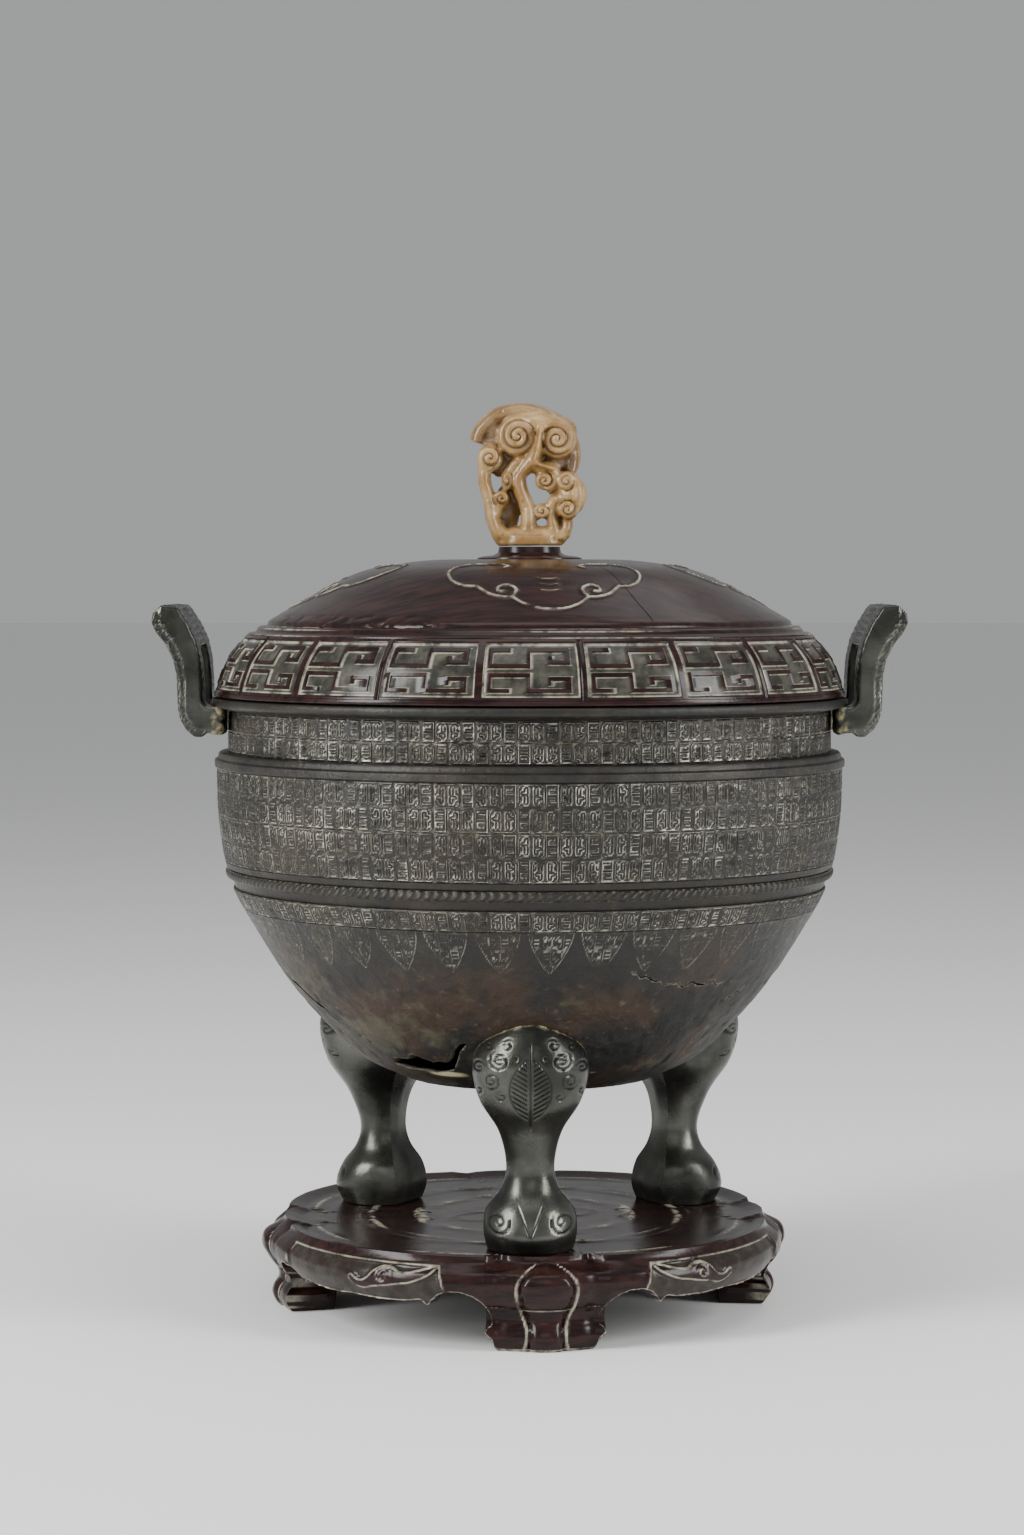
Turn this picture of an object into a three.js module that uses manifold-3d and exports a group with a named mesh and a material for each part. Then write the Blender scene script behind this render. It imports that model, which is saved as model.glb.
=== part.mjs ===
// Bronze ding: a lidded tripod vessel on a carved hardwood stand.
// Units are millimetres. +Z is up and the origin is on the ground, under the vessel's axis.
// Azimuths are in degrees, measured from the front (-Y) towards +X.
import * as THREE from 'three';
import { mergeVertices } from 'three/addons/utils/BufferGeometryUtils.js';
import Module from 'manifold-3d';

const wasm = await Module();
wasm.setup();

// ---- driving dimensions ---------------------------------------------------------------

const GAP = 0.35; // clearance between neighbouring pieces
const WELD = 1e-4; // vertices closer than this are one
const BOWL_SEGMENTS = 36; // facets round the bowl
const LID_SEGMENTS = 40; // facets round the lid, two to each fret panel

const BOWL = {
  wall: 4,
  baseZ: 91.5,
  baseRadius: 50,
  lowerRowZ: 160,
  lowerRowTopZ: 168,
  ropeZ: 173.7,
  ropeHalf: 1.9,
  ropeProud: 1.3,
  rowsZ: 178.8,
  rowHeight: 9.3,
  rowCount: 4,
  rowRelief: 0.45,
  bellyRadius: 124.8,
  ridgeProud: 0.9,
  ridgeHeight: 2.8,
  ledgeDrop: 1.8,
  ridgeTopZ: 222,
  neckRadius: 120.4,
  neckTopZ: 238.6,
  rimRadius: 126.8,
  rimZ: 240.2,
  mouthZ: 243.6,
  mouthRadius: 117,
};
const BASE_HEIGHTS = [98, 107, 122, 141]; // edges of the plain lower body's facets
const INNER_HEIGHTS = [200, 160, 126, 104]; // edges of the inner wall's facets
const THICK_BELOW = 150; // under this height the wall is a quarter thicker
// Radius and height at the stations that shape the lower body.
const BODY_STATIONS = [
  [50, 91.8],
  [68.4, 101.2],
  [84, 116.4],
  [97, 131.6],
  [109.2, 150.8],
  [119.4, 170],
  [124, 194],
  [124.8, 215.9],
];
// Corners of the lost piece in the wall, as azimuth and height.
const LOSS = [
  [-43, 101],
  [-33, 100],
  [-24.5, 102.4],
  [-21, 109.5],
  [-18, 113],
  [-22.5, 110.2],
  [-26, 105.2],
  [-31, 104.6],
  [-38, 107.6],
];
const SPLIT = { from: [-81, 137.4], to: [-58.5, 119], width: 1.3, jag: 0.5, steps: 5 };
const CUT_DEPTH = 14; // how far a cutter reaches in from the wall's outer face
const CUT_REACH = 6; // and how far out

// Leg stations: outermost radius, half width, innermost radius, height.
const LEG_AZIMUTHS = { leg_front: 0, leg_left: -120, leg_right: 120 };
const LEG_RINGS = 13;
const LEG_ROUNDING = 0.95; // the round front's centre lies this share of the half width in
const LEG_BACK = 0.42; // half width of the flat back, as a share of the leg's
const LEG_STATIONS = {
  sole: [86.2, 16.6, 57, 34.6],
  toe: [89.2, 17.9, 55, 41.5],
  instep: [86, 16.9, 57, 50],
  ankle: [80.2, 11, 60.5, 58],
  shin: [79, 9.3, 62, 67],
  calf: [84, 12.2, 60, 80],
  swell: [92.3, 19.4, 54, 92],
  knee: [96.3, 22.3, 51, 105],
  brow: [94.5, 18.8, 60, 115],
  crown: [89.3, 8.2, 71, 123],
};

const HANDLE = { breadth: 59, openingWidth: 29, openingTop: 264 };
// Radius and height round a handle's side face, from the neck out, up and back.
const HANDLE_PROFILE = [
  [117.4, 229.4],
  [127.5, 230.2],
  [128.9, 228.1],
  [133.2, 230.2],
  [136.6, 234.2],
  [138.2, 239.6],
  [138.5, 252.6],
  [140, 259.6],
  [143.2, 265.4],
  [146.8, 270],
  [148.4, 273.6],
  [147.9, 277],
  [144.2, 280.6],
  [138.5, 280.2],
  [134.1, 273.1],
  [130.9, 266.1],
  [129.3, 258.6],
  [128.5, 250.6],
  [128.5, 242],
  [126.5, 240.2],
  [117.4, 239.6],
];

const LID = {
  footZ: 244,
  footRadius: 126,
  lipRadius: 115.8,
  lipThickness: 3.5,
  lipZ: 240.4,
  bandLowZ: 247.6,
  bandHighZ: 267,
  bandRelief: 0.9,
  wall: 7,
  domeZ: 277.6,
  crownZ: 298,
  discRadius: 20.8,
  discZ: 298.9,
  knobRadius: 12.3,
  seatZ: 303.3,
};
const BAND_STATIONS = [
  [125.4, 246.4],
  [123.9, 251.6],
  [121, 258.5],
  [117.4, 263.6],
  [112.8, 268.5],
];
const MOULDINGS = [
  [109, 270],
  [107.8, 271.8],
  [104.6, 272.2],
];
const DOME_STATIONS = [
  [101, 275.8],
  [98, 277.6],
  [88.8, 282.6],
  [80, 287.6],
  [69.6, 292.6],
  [58.8, 295.6],
  [40, 298],
  [24, 298.2],
];
const FRET = {
  panels: 20,
  firstJoint: 9,
  dividerWidth: 2.6,
  dividerFrom: 0.035,
  strapWidth: 1.75,
  bandRadius: 121, // mean radius that straps are measured at
  bandHeight: 24, // length of the band's sloping face
  // Centre line of one strap inside its panel, as fractions of its width and height.
  path: [
    [0.1, 0.6],
    [0.1, 0.88],
    [0.58, 0.88],
    [0.58, 0.58],
    [0.92, 0.58],
  ],
};

const FINIAL = { depth: 15, bossDepth: 20, edgePoints: 36 };
const FINIAL_OUTLINE = [
  [-11.5, 303.6],
  [-16, 314],
  [-15.8, 324],
  [-20.6, 331],
  [-21.6, 338.5],
  [-19.6, 343],
  [-22.2, 346.4],
  [-17, 352],
  [-9.6, 359],
  [-1.5, 360.4],
  [8.6, 356.9],
  [16.8, 347.5],
  [20, 338],
  [18.8, 331.6],
  [22.4, 325],
  [20.4, 317],
  [13.4, 313],
  [13.2, 303.6],
];
const FINIAL_HOLES = [
  { x: -6.2, z: 337.2, rx: 2.1, rz: 1.7 },
  { x: 5.6, z: 337.8, rx: 1.7, rz: 1.8 },
  { x: 2.4, z: 325.4, rx: 3.4, rz: 2.6 },
  { x: -7.6, z: 316.6, rx: 3.6, rz: 5.2 },
  { x: 5.2, z: 311.6, rx: 2.2, rz: 2.2 },
];
const FINIAL_SCROLLS = [
  { x: -4.1, z: 346.3, radius: 5.9 },
  { x: 11.3, z: 345.4, radius: 5.6 },
  { x: -16.6, z: 336.8, radius: 4.1 },
  { x: 7.6, z: 330.2, radius: 3.4 },
  { x: 14.9, z: 328.4, radius: 3 },
  { x: 14.9, z: 319, radius: 3.4 },
];

const STAND = {
  yaw: 4.6,
  centreX: -2,
  floorZ: 34.2,
  rimZ: 35.8,
  rimWidth: 5,
  sideRadius: 100.5,
  cornerRadius: 96.5,
  notchRadius: 92,
  bulge: 6,
  apronZ: 18.2,
  cuspZ: 16.4,
  archZ: 23,
  apronThickness: 10,
  undersideZ: 26,
  footRadius: 95,
  footBack: 8.5,
  footFront: 2.5,
  footChamfer: 3.5,
  neckHalf: 20,
  bossHalf: 11,
};
// A foot's cross-sections: height, extra half width, and how far back, front and boss move.
const FOOT_SECTIONS = [
  { z: 0, wider: 1, back: 0, front: 0, boss: 0.5 },
  { z: 8.4, wider: 2.2, back: 0.2, front: 1, boss: 1 },
  { z: 10.6, wider: -0.8, back: 1, front: 0, boss: 2.5 },
  { z: 17, wider: -0.6, back: -1, front: 3, boss: 3.2 },
  { z: 24, wider: 3, back: -4, front: 5.5, boss: 3 },
  { z: 31, wider: 3, back: -6, front: 4, boss: 0.3 },
];

// ---- shared shape tools ---------------------------------------------------------------

/** A closed geometry as a solid that can be cut and joined. */
function solid(geometry) {
  const bare = geometry.clone();
  bare.deleteAttribute('normal');
  bare.deleteAttribute('uv');
  const merged = mergeVertices(bare, WELD);
  const corners = merged.index.array;
  const triVerts = [];
  for (let i = 0; i < corners.length; i += 3) {
    const [a, b, c] = [corners[i], corners[i + 1], corners[i + 2]];
    if (a !== b && b !== c && c !== a) triVerts.push(a, b, c);
  }
  return new wasm.Manifold(
    new wasm.Mesh({
      numProp: 3,
      vertProperties: new Float32Array(merged.attributes.position.array),
      triVerts: Uint32Array.from(triVerts),
    }),
  );
}

/** The geometry of a solid. */
function surface(body) {
  const mesh = body.getMesh();
  const geometry = new THREE.BufferGeometry();
  geometry.setAttribute('position', new THREE.BufferAttribute(mesh.vertProperties, 3));
  geometry.setIndex(new THREE.BufferAttribute(mesh.triVerts, 1));
  geometry.computeVertexNormals();
  return geometry;
}

/** A solid turned from a profile of [radius, height] pairs that run anticlockwise. */
function turned(profile, segments) {
  const points = profile.map(([radius, height]) => new THREE.Vector2(radius, height));
  const geometry = new THREE.LatheGeometry(points, segments);
  geometry.rotateX(Math.PI / 2);
  return solid(geometry);
}

/** A closed skin over rings of equal count, each anticlockwise seen from the last ring. */
function loft(rings, capped = true) {
  const count = rings[0].length;
  const index = [];
  const spans = capped ? rings.length - 1 : rings.length;
  for (let i = 0; i < spans; i += 1) {
    const low = i * count;
    const high = ((i + 1) % rings.length) * count;
    for (let j = 0; j < count; j += 1) {
      const next = (j + 1) % count;
      index.push(low + j, low + next, high + next, low + j, high + next, high + j);
    }
  }
  if (capped) {
    const last = (rings.length - 1) * count;
    for (let j = 1; j < count - 1; j += 1) {
      index.push(0, j + 1, j, last, last + j, last + j + 1);
    }
  }
  const geometry = new THREE.BufferGeometry();
  const positions = rings.flat().flatMap((point) => point.toArray());
  geometry.setAttribute('position', new THREE.Float32BufferAttribute(positions, 3));
  geometry.setIndex(index);
  return geometry;
}

/** The point at a radius, azimuth and height about the vessel's axis. */
function polar(radius, azimuth, height) {
  const angle = THREE.MathUtils.degToRad(azimuth);
  return new THREE.Vector3(radius * Math.sin(angle), -radius * Math.cos(angle), height);
}

/** Moves every vertex of a geometry through a function of its x, y and z. */
function bend(geometry, place) {
  const position = geometry.attributes.position;
  for (let i = 0; i < position.count; i += 1) {
    const point = place(position.getX(i), position.getY(i), position.getZ(i));
    position.setXYZ(i, point.x, point.y, point.z);
  }
  return geometry;
}

/** A flat outline of [x, y] pairs, extruded along z. */
function slab(outline, depth, steps = 1) {
  const shape = new THREE.Shape(outline.map(([x, y]) => new THREE.Vector2(x, y)));
  return new THREE.ExtrudeGeometry(shape, { depth, steps, bevelEnabled: false });
}

/** A smooth run of [radius, height] pairs through the given stations. */
function smooth(stations, divisions) {
  const curve = new THREE.SplineCurve(stations.map(([r, z]) => new THREE.Vector2(r, z)));
  return curve.getPoints(divisions).map((point) => [point.x, point.y]);
}

/** The radius of a finely divided profile at a height. */
function radiusAt(profile, height) {
  const upper = profile.findIndex(([, z]) => z >= height);
  if (upper <= 0) return profile[upper === 0 ? 0 : profile.length - 1][0];
  const [r0, z0] = profile[upper - 1];
  const [r1, z1] = profile[upper];
  return THREE.MathUtils.mapLinear(height, z0, z1, r0, r1);
}

function piece(name, geometry, finish) {
  const mesh = new THREE.Mesh(geometry, new THREE.MeshStandardMaterial(finish));
  mesh.name = name;
  return mesh;
}

// ---- finishes -------------------------------------------------------------------------

const WORN_BRONZE = { color: 0x4d463d, roughness: 0.55, metalness: 0.8 };
const SMOOTH_BRONZE = { color: 0x5c5e58, roughness: 0.4, metalness: 0.85 };
const DARK_WOOD = { color: 0x2b1a17, roughness: 0.3, metalness: 0 };
const HONEY_STONE = { color: 0xb99a66, roughness: 0.35, metalness: 0 };

// ---- bowl -----------------------------------------------------------------------------

const BODY = smooth(BODY_STATIONS, 120);
const bodyRadius = (height) => radiusAt(BODY, height);

/** The outside of the bowl from the axis below up to the edge of the rim. */
function bowlOutside() {
  const outside = [
    [0, BOWL.baseZ],
    [BOWL.baseRadius, BOWL.baseZ],
  ];
  for (const height of BASE_HEIGHTS) outside.push([bodyRadius(height), height]);
  const relief = BOWL.rowRelief;
  outside.push([bodyRadius(BOWL.lowerRowZ) - relief, BOWL.lowerRowZ]);
  const lowerMid = (BOWL.lowerRowZ + BOWL.lowerRowTopZ) / 2;
  outside.push([bodyRadius(lowerMid) + relief, lowerMid]);
  outside.push([bodyRadius(BOWL.lowerRowTopZ) - relief, BOWL.lowerRowTopZ]);
  outside.push([bodyRadius(BOWL.ropeZ - BOWL.ropeHalf), BOWL.ropeZ - BOWL.ropeHalf]);
  outside.push([bodyRadius(BOWL.ropeZ) + BOWL.ropeProud, BOWL.ropeZ]);
  outside.push([bodyRadius(BOWL.ropeZ + BOWL.ropeHalf), BOWL.ropeZ + BOWL.ropeHalf]);
  for (let row = 0; row < BOWL.rowCount; row += 1) {
    const low = BOWL.rowsZ + row * BOWL.rowHeight;
    outside.push([bodyRadius(low) - relief, low]);
    if (row % 2) continue;
    outside.push([bodyRadius(low + BOWL.rowHeight / 2) + relief / 2, low + BOWL.rowHeight / 2]);
  }
  const ridgeZ = BOWL.rowsZ + BOWL.rowCount * BOWL.rowHeight;
  const ridge = BOWL.bellyRadius + BOWL.ridgeProud;
  outside.push([BOWL.bellyRadius - relief, ridgeZ]);
  outside.push([ridge, ridgeZ + 0.6]);
  outside.push([ridge, ridgeZ + BOWL.ridgeHeight]);
  outside.push([ridge - BOWL.ledgeDrop, ridgeZ + BOWL.ridgeHeight + 0.5]);
  outside.push([ridge - BOWL.ledgeDrop, BOWL.ridgeTopZ - 0.3]);
  const neckMid = (BOWL.ridgeTopZ + BOWL.neckTopZ) / 2;
  outside.push([BOWL.neckRadius, BOWL.ridgeTopZ + 0.4]);
  outside.push([BOWL.neckRadius - relief, neckMid]);
  outside.push([BOWL.neckRadius, BOWL.neckTopZ]);
  outside.push([BOWL.rimRadius, BOWL.rimZ]);
  outside.push([BOWL.rimRadius, BOWL.mouthZ - 0.8]);
  outside.push([BOWL.rimRadius - 0.8, BOWL.mouthZ]);
  return outside;
}

/** The inside of the bowl from the mouth down to the axis. */
function bowlInside() {
  const inside = [
    [BOWL.mouthRadius, BOWL.mouthZ],
    [BOWL.mouthRadius, BOWL.ridgeTopZ + 6],
  ];
  const floorZ = BOWL.baseZ + BOWL.wall;
  for (const height of INNER_HEIGHTS) {
    const wall = height < THICK_BELOW ? BOWL.wall * 1.25 : BOWL.wall;
    inside.push([bodyRadius(height) - wall, height]);
  }
  inside.push([BOWL.baseRadius - 2, floorZ]);
  inside.push([0, floorZ]);
  return inside;
}

/** A cutter through the wall from an outline of azimuths and heights. */
function throughWall(outline) {
  return solid(
    bend(slab(outline, 1), (azimuth, height, depth) => {
      const shift = THREE.MathUtils.lerp(-CUT_DEPTH, CUT_REACH, depth);
      return polar(bodyRadius(height) + shift, azimuth, height);
    }),
  );
}

/** A jagged open split through the wall. */
function split() {
  const [fromAzimuth, fromZ] = SPLIT.from;
  const [toAzimuth, toZ] = SPLIT.to;
  const upper = [];
  const lower = [];
  for (let i = 0; i <= SPLIT.steps; i += 1) {
    const along = i / SPLIT.steps;
    const azimuth = THREE.MathUtils.lerp(fromAzimuth, toAzimuth, along);
    const jag = i % 2 ? SPLIT.jag : -SPLIT.jag;
    const half = (SPLIT.width / 2) * (i === 0 || i === SPLIT.steps ? 0.3 : 1);
    const height = THREE.MathUtils.lerp(fromZ, toZ, along) + jag;
    upper.unshift([azimuth, height + half]);
    lower.push([azimuth, height - half]);
  }
  return throughWall([...lower, ...upper]);
}

function bowl() {
  const body = turned([...bowlOutside(), ...bowlInside()], BOWL_SEGMENTS);
  return surface(body.subtract(throughWall(LOSS)).subtract(split()));
}

/** The space the bowl takes up, with the clearance its cast-on pieces keep. */
function bowlEnvelope() {
  const outside = bowlOutside().map(([radius, height]) => {
    const grown = radius === 0 ? 0 : radius + GAP;
    return [grown, height < BOWL.ropeZ ? height - GAP : height];
  });
  return turned([...outside, [0, BOWL.mouthZ]], BOWL_SEGMENTS);
}

// ---- cast-on legs and handles ---------------------------------------------------------

/** A cabriole leg that points along +X: rounded outside, with a keeled flat back. */
function leg() {
  const stations = Object.values(LEG_STATIONS);
  const front = new THREE.CatmullRomCurve3(
    stations.map(([outer, half, , height]) => new THREE.Vector3(outer, half, height)),
    false,
    'catmullrom',
  );
  const back = new THREE.CatmullRomCurve3(
    stations.map(([, , inner, height]) => new THREE.Vector3(inner, 0, height)),
    false,
    'catmullrom',
  );
  const rings = [];
  for (let i = 0; i <= LEG_RINGS; i += 1) {
    const { x: outer, y: half, z: height } = front.getPoint(i / LEG_RINGS);
    const inner = back.getPoint(i / LEG_RINGS).x;
    const middle = outer - half * LEG_ROUNDING;
    const ring = [];
    for (let turn = -90; turn <= 90; turn += 30) {
      const angle = THREE.MathUtils.degToRad(turn);
      const x = middle + (outer - middle) * Math.cos(angle);
      ring.push(new THREE.Vector3(x, half * Math.sin(angle), height));
    }
    ring.push(new THREE.Vector3(inner, half * LEG_BACK, height));
    ring.push(new THREE.Vector3(inner, -half * LEG_BACK, height));
    rings.push(ring);
  }
  return solid(loft(rings));
}

/** A handle that points along +X: a flat loop that leaves the neck, rises and flares. */
function handle() {
  const band = slab(HANDLE_PROFILE, HANDLE.breadth);
  band.translate(0, 0, -HANDLE.breadth / 2);
  band.rotateX(Math.PI / 2);
  const { x: reach, y: low } = new THREE.Box2().setFromPoints(
    HANDLE_PROFILE.map(([radius, height]) => new THREE.Vector2(radius, height)),
  ).min;
  const height = 2 * (HANDLE.openingTop - low);
  const opening = new THREE.BoxGeometry(reach / 2, HANDLE.openingWidth, height);
  opening.translate(reach + GAP, 0, HANDLE.openingTop - height / 2);
  return solid(band).subtract(solid(opening));
}

// ---- lid ------------------------------------------------------------------------------

const BAND = smooth(BAND_STATIONS, 60);

function lidBody() {
  const band = [];
  for (const rise of [0.02, 0.5, 0.98]) {
    const height = THREE.MathUtils.lerp(LID.bandLowZ, LID.bandHighZ, rise);
    band.push([radiusAt(BAND, height) - LID.bandRelief, height - LID.bandRelief * 0.4]);
  }
  const dome = smooth(DOME_STATIONS, 5);
  const outside = [
    [LID.footRadius, LID.footZ],
    [radiusAt(BAND, LID.bandLowZ), LID.bandLowZ],
    ...band,
    [radiusAt(BAND, LID.bandHighZ), LID.bandHighZ],
    ...MOULDINGS,
    ...dome,
    [LID.discRadius, LID.crownZ],
    [LID.discRadius, LID.discZ],
    [LID.knobRadius, LID.discZ + 1.4],
    [LID.knobRadius, LID.seatZ],
    [0, LID.seatZ],
  ];
  const inside = [
    [0, LID.crownZ - LID.wall],
    [62, LID.crownZ - LID.wall - 3],
    [96, LID.domeZ - LID.wall - 3],
    [LID.lipRadius - LID.lipThickness, LID.footZ + 6],
    [LID.lipRadius - LID.lipThickness, LID.lipZ],
    [LID.lipRadius, LID.lipZ],
    [LID.lipRadius, LID.footZ],
  ];
  return turned([...outside, ...inside, outside[0]], LID_SEGMENTS);
}

/** Lays a slab, drawn in degrees and band fractions, on the fret band. */
function onBand(geometry, proud) {
  return solid(
    bend(geometry, (azimuth, rise, depth) => {
      const height = THREE.MathUtils.lerp(LID.bandLowZ, LID.bandHighZ, rise);
      const low = radiusAt(BAND, height - 0.5);
      const high = radiusAt(BAND, height + 0.5);
      const normal = new THREE.Vector2(1, low - high).normalize();
      const lift = THREE.MathUtils.lerp(-LID.bandRelief - 1.6, proud, depth);
      const radius = radiusAt(BAND, height) + normal.x * lift;
      return polar(radius, azimuth, height + normal.y * lift);
    }),
  );
}

/** The outline of a strap of right-angled strokes, given half widths along both axes. */
function strapOutline(path, halfX, halfY) {
  const left = [];
  const right = [];
  path.forEach(([x, y], i) => {
    const before = path[Math.max(i - 1, 0)];
    const after = path[Math.min(i + 1, path.length - 1)];
    const legs = [
      [x - before[0], y - before[1]],
      [after[0] - x, after[1] - y],
    ];
    let shiftX = 0;
    let shiftY = 0;
    for (const [dx, dy] of legs) {
      if (Math.abs(dx) > Math.abs(dy)) shiftY = Math.sign(dx) * halfY;
      else if (dy !== 0) shiftX = -Math.sign(dy) * halfX;
    }
    left.unshift([x + shiftX, y + shiftY]);
    right.push([x - shiftX, y - shiftY]);
  });
  return [...right, ...left];
}

/** Puts an outline the anticlockwise way round. */
function anticlockwise(outline) {
  const area = THREE.ShapeUtils.area(outline.map(([x, y]) => new THREE.Vector2(x, y)));
  return area < 0 ? [...outline].reverse() : outline;
}

function fretPanel(index) {
  const span = 360 / FRET.panels;
  const degreesPerMm = THREE.MathUtils.radToDeg(1 / FRET.bandRadius);
  const margin = (FRET.dividerWidth / 2) * degreesPerMm;
  const start = FRET.firstJoint + index * span + margin;
  const width = span - 2 * margin;
  const halfX = (FRET.strapWidth * degreesPerMm) / 2;
  const halfY = FRET.strapWidth / 2 / FRET.bandHeight;
  const mirrored = index % 2 === 0;
  const straps = [false, true].map((lower) => {
    const path = FRET.path.map(([x, y]) => [
      start + width * (mirrored ? 1 - x : x),
      lower ? 1 - y : y,
    ]);
    return onBand(slab(anticlockwise(strapOutline(path, halfX, halfY)), 1), 0);
  });
  const divider = [];
  const halfBar = margin * (index % 2 === 0 ? 0.6 : 1);
  const edge = FRET.firstJoint + index * span;
  const rises = [FRET.dividerFrom, 0.5, 1 - FRET.dividerFrom];
  for (const rise of rises) divider.push([edge + halfBar, rise]);
  for (const rise of rises.reverse()) divider.push([edge - halfBar, rise]);
  return [...straps, onBand(slab(anticlockwise(divider), 1), 0)];
}

function lid() {
  let body = lidBody();
  for (let i = 0; i < FRET.panels; i += 1) {
    for (const raised of fretPanel(i)) body = body.add(raised);
  }
  return surface(body);
}

// ---- finial ---------------------------------------------------------------------------

/** Openwork cluster of fungus scrolls and stems. */
function finial() {
  const points = FINIAL_OUTLINE.map(([x, z]) => new THREE.Vector2(x, z));
  const edge = new THREE.SplineCurve(points).getPoints(FINIAL.edgePoints);
  const plate = slab(edge.map((point) => [point.x, point.y]).reverse(), FINIAL.depth);
  plate.translate(0, 0, -FINIAL.depth / 2);
  plate.rotateX(Math.PI / 2);
  let body = solid(plate);
  for (const { x, z, radius } of FINIAL_SCROLLS) {
    const boss = new THREE.CylinderGeometry(radius * 0.8, radius * 0.8, FINIAL.bossDepth, 8);
    boss.translate(x, 0, z);
    body = body.add(solid(boss));
  }
  for (const { x, z, rx, rz } of FINIAL_HOLES) {
    const bore = new THREE.CylinderGeometry(1, 1, 2 * FINIAL.bossDepth, 6);
    bore.scale(rx, 1, rz);
    bore.translate(x, 0, z);
    body = body.subtract(solid(bore));
  }
  return surface(body);
}

// ---- stand ----------------------------------------------------------------------------

/** Offsets from a corner, in degrees, where the stand's edge changes. */
const STAND_ANGLES = [-45, -34, -24, -21, -17, -13, -10.5, -7, 0, 7, 10.5, 13, 17, 21, 24, 34];

function rimRadius(away) {
  const { cornerRadius, notchRadius, sideRadius } = STAND;
  if (away <= 7) return cornerRadius - (away / 7) * 1.5;
  if (away <= 10.5) return THREE.MathUtils.mapLinear(away, 7, 10.5, cornerRadius - 1.5, notchRadius);
  if (away <= 13) return THREE.MathUtils.mapLinear(away, 10.5, 13, notchRadius, cornerRadius);
  return sideRadius - (sideRadius - cornerRadius) * ((45 - away) / 32) ** 2;
}

function apronHeight(away) {
  if (away <= 13) return STAND.archZ - 2;
  if (away <= 17) return STAND.archZ;
  if (away <= 21) return STAND.cuspZ + 3.6;
  if (away <= 24) return STAND.cuspZ;
  return STAND.apronZ;
}

/** Plate, rim and apron of the stand, all round. */
function standTop() {
  const rings = [];
  for (let corner = 0; corner < 4; corner += 1) {
    for (const angle of STAND_ANGLES) {
      const away = Math.abs(angle);
      const azimuth = corner * 90 + angle;
      const rim = rimRadius(away);
      const bulge = Math.min(rim + STAND.bulge, STAND.sideRadius + STAND.bulge - 0.8);
      const low = apronHeight(away);
      const section = [
        [0.01, STAND.undersideZ],
        [rim - 18, STAND.undersideZ],
        [rim - STAND.apronThickness, low],
        [rim + 0.5, low],
        [bulge, (low + STAND.rimZ) / 2],
        [rim + 1.2, STAND.rimZ - 4],
        [rim, STAND.rimZ],
        [rim - STAND.rimWidth, STAND.rimZ],
        [rim - STAND.rimWidth - 0.8, STAND.floorZ],
        [0.01, STAND.floorZ],
      ];
      rings.push(section.map(([radius, height]) => polar(radius, azimuth, height)).reverse());
    }
  }
  return solid(loft(rings, false));
}

/** A foot that points along +X, with waisted sides, a flared plate and an egg-shaped boss. */
function standFoot() {
  const { neckHalf, footRadius, footBack, footFront, footChamfer, bossHalf } = STAND;
  const rings = FOOT_SECTIONS.map(({ z, wider, back, front, boss }) => {
    const half = neckHalf + wider;
    const inner = footRadius - footBack + back;
    const outer = footRadius + footFront + front;
    const place = (x, y) => new THREE.Vector3(x, y, z);
    return [
      place(inner, half * 0.9),
      place(inner, -half * 0.9),
      place(outer - footChamfer, -half),
      place(outer, -bossHalf),
      place(outer + boss, -bossHalf * 0.7),
      place(outer + boss, bossHalf * 0.7),
      place(outer, bossHalf),
      place(outer - footChamfer, half),
    ];
  });
  return solid(loft(rings));
}

function stand() {
  let body = standTop();
  for (let corner = 0; corner < 4; corner += 1) {
    body = body.add(standFoot().rotate([0, 0, corner * 90 - 90]));
  }
  return surface(body.rotate([0, 0, STAND.yaw]).translate([STAND.centreX, 0, 0]));
}

// ---- assembly -------------------------------------------------------------------------

const envelope = bowlEnvelope();
const vessel = new THREE.Group();
vessel.add(piece('bowl', bowl(), WORN_BRONZE));

const frontLeg = surface(leg().rotate([0, 0, -90]).subtract(envelope));
for (const [name, azimuth] of Object.entries(LEG_AZIMUTHS)) {
  const mesh = piece(name, frontLeg, SMOOTH_BRONZE);
  mesh.rotation.z = THREE.MathUtils.degToRad(azimuth);
  vessel.add(mesh);
}

const rightHandle = surface(handle().subtract(envelope));
vessel.add(piece('handle_right', rightHandle, SMOOTH_BRONZE));
const leftHandle = piece('handle_left', rightHandle, SMOOTH_BRONZE);
leftHandle.rotation.z = Math.PI;
vessel.add(leftHandle);

vessel.add(piece('lid', lid(), DARK_WOOD));
vessel.add(piece('finial', finial(), HONEY_STONE));
vessel.add(piece('stand', stand(), DARK_WOOD));

export default vessel;
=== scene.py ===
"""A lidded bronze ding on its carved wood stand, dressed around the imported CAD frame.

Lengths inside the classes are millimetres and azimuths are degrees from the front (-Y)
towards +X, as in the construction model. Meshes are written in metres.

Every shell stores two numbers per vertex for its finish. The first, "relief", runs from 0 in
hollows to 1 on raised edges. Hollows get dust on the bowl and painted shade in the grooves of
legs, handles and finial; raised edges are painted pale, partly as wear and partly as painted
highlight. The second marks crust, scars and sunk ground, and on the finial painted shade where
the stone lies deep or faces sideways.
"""
import logging
import math
from dataclasses import dataclass, field
from enum import Enum
from typing import Callable, NamedTuple, Sequence

import bpy
import numpy as np
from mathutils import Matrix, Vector, noise


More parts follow.
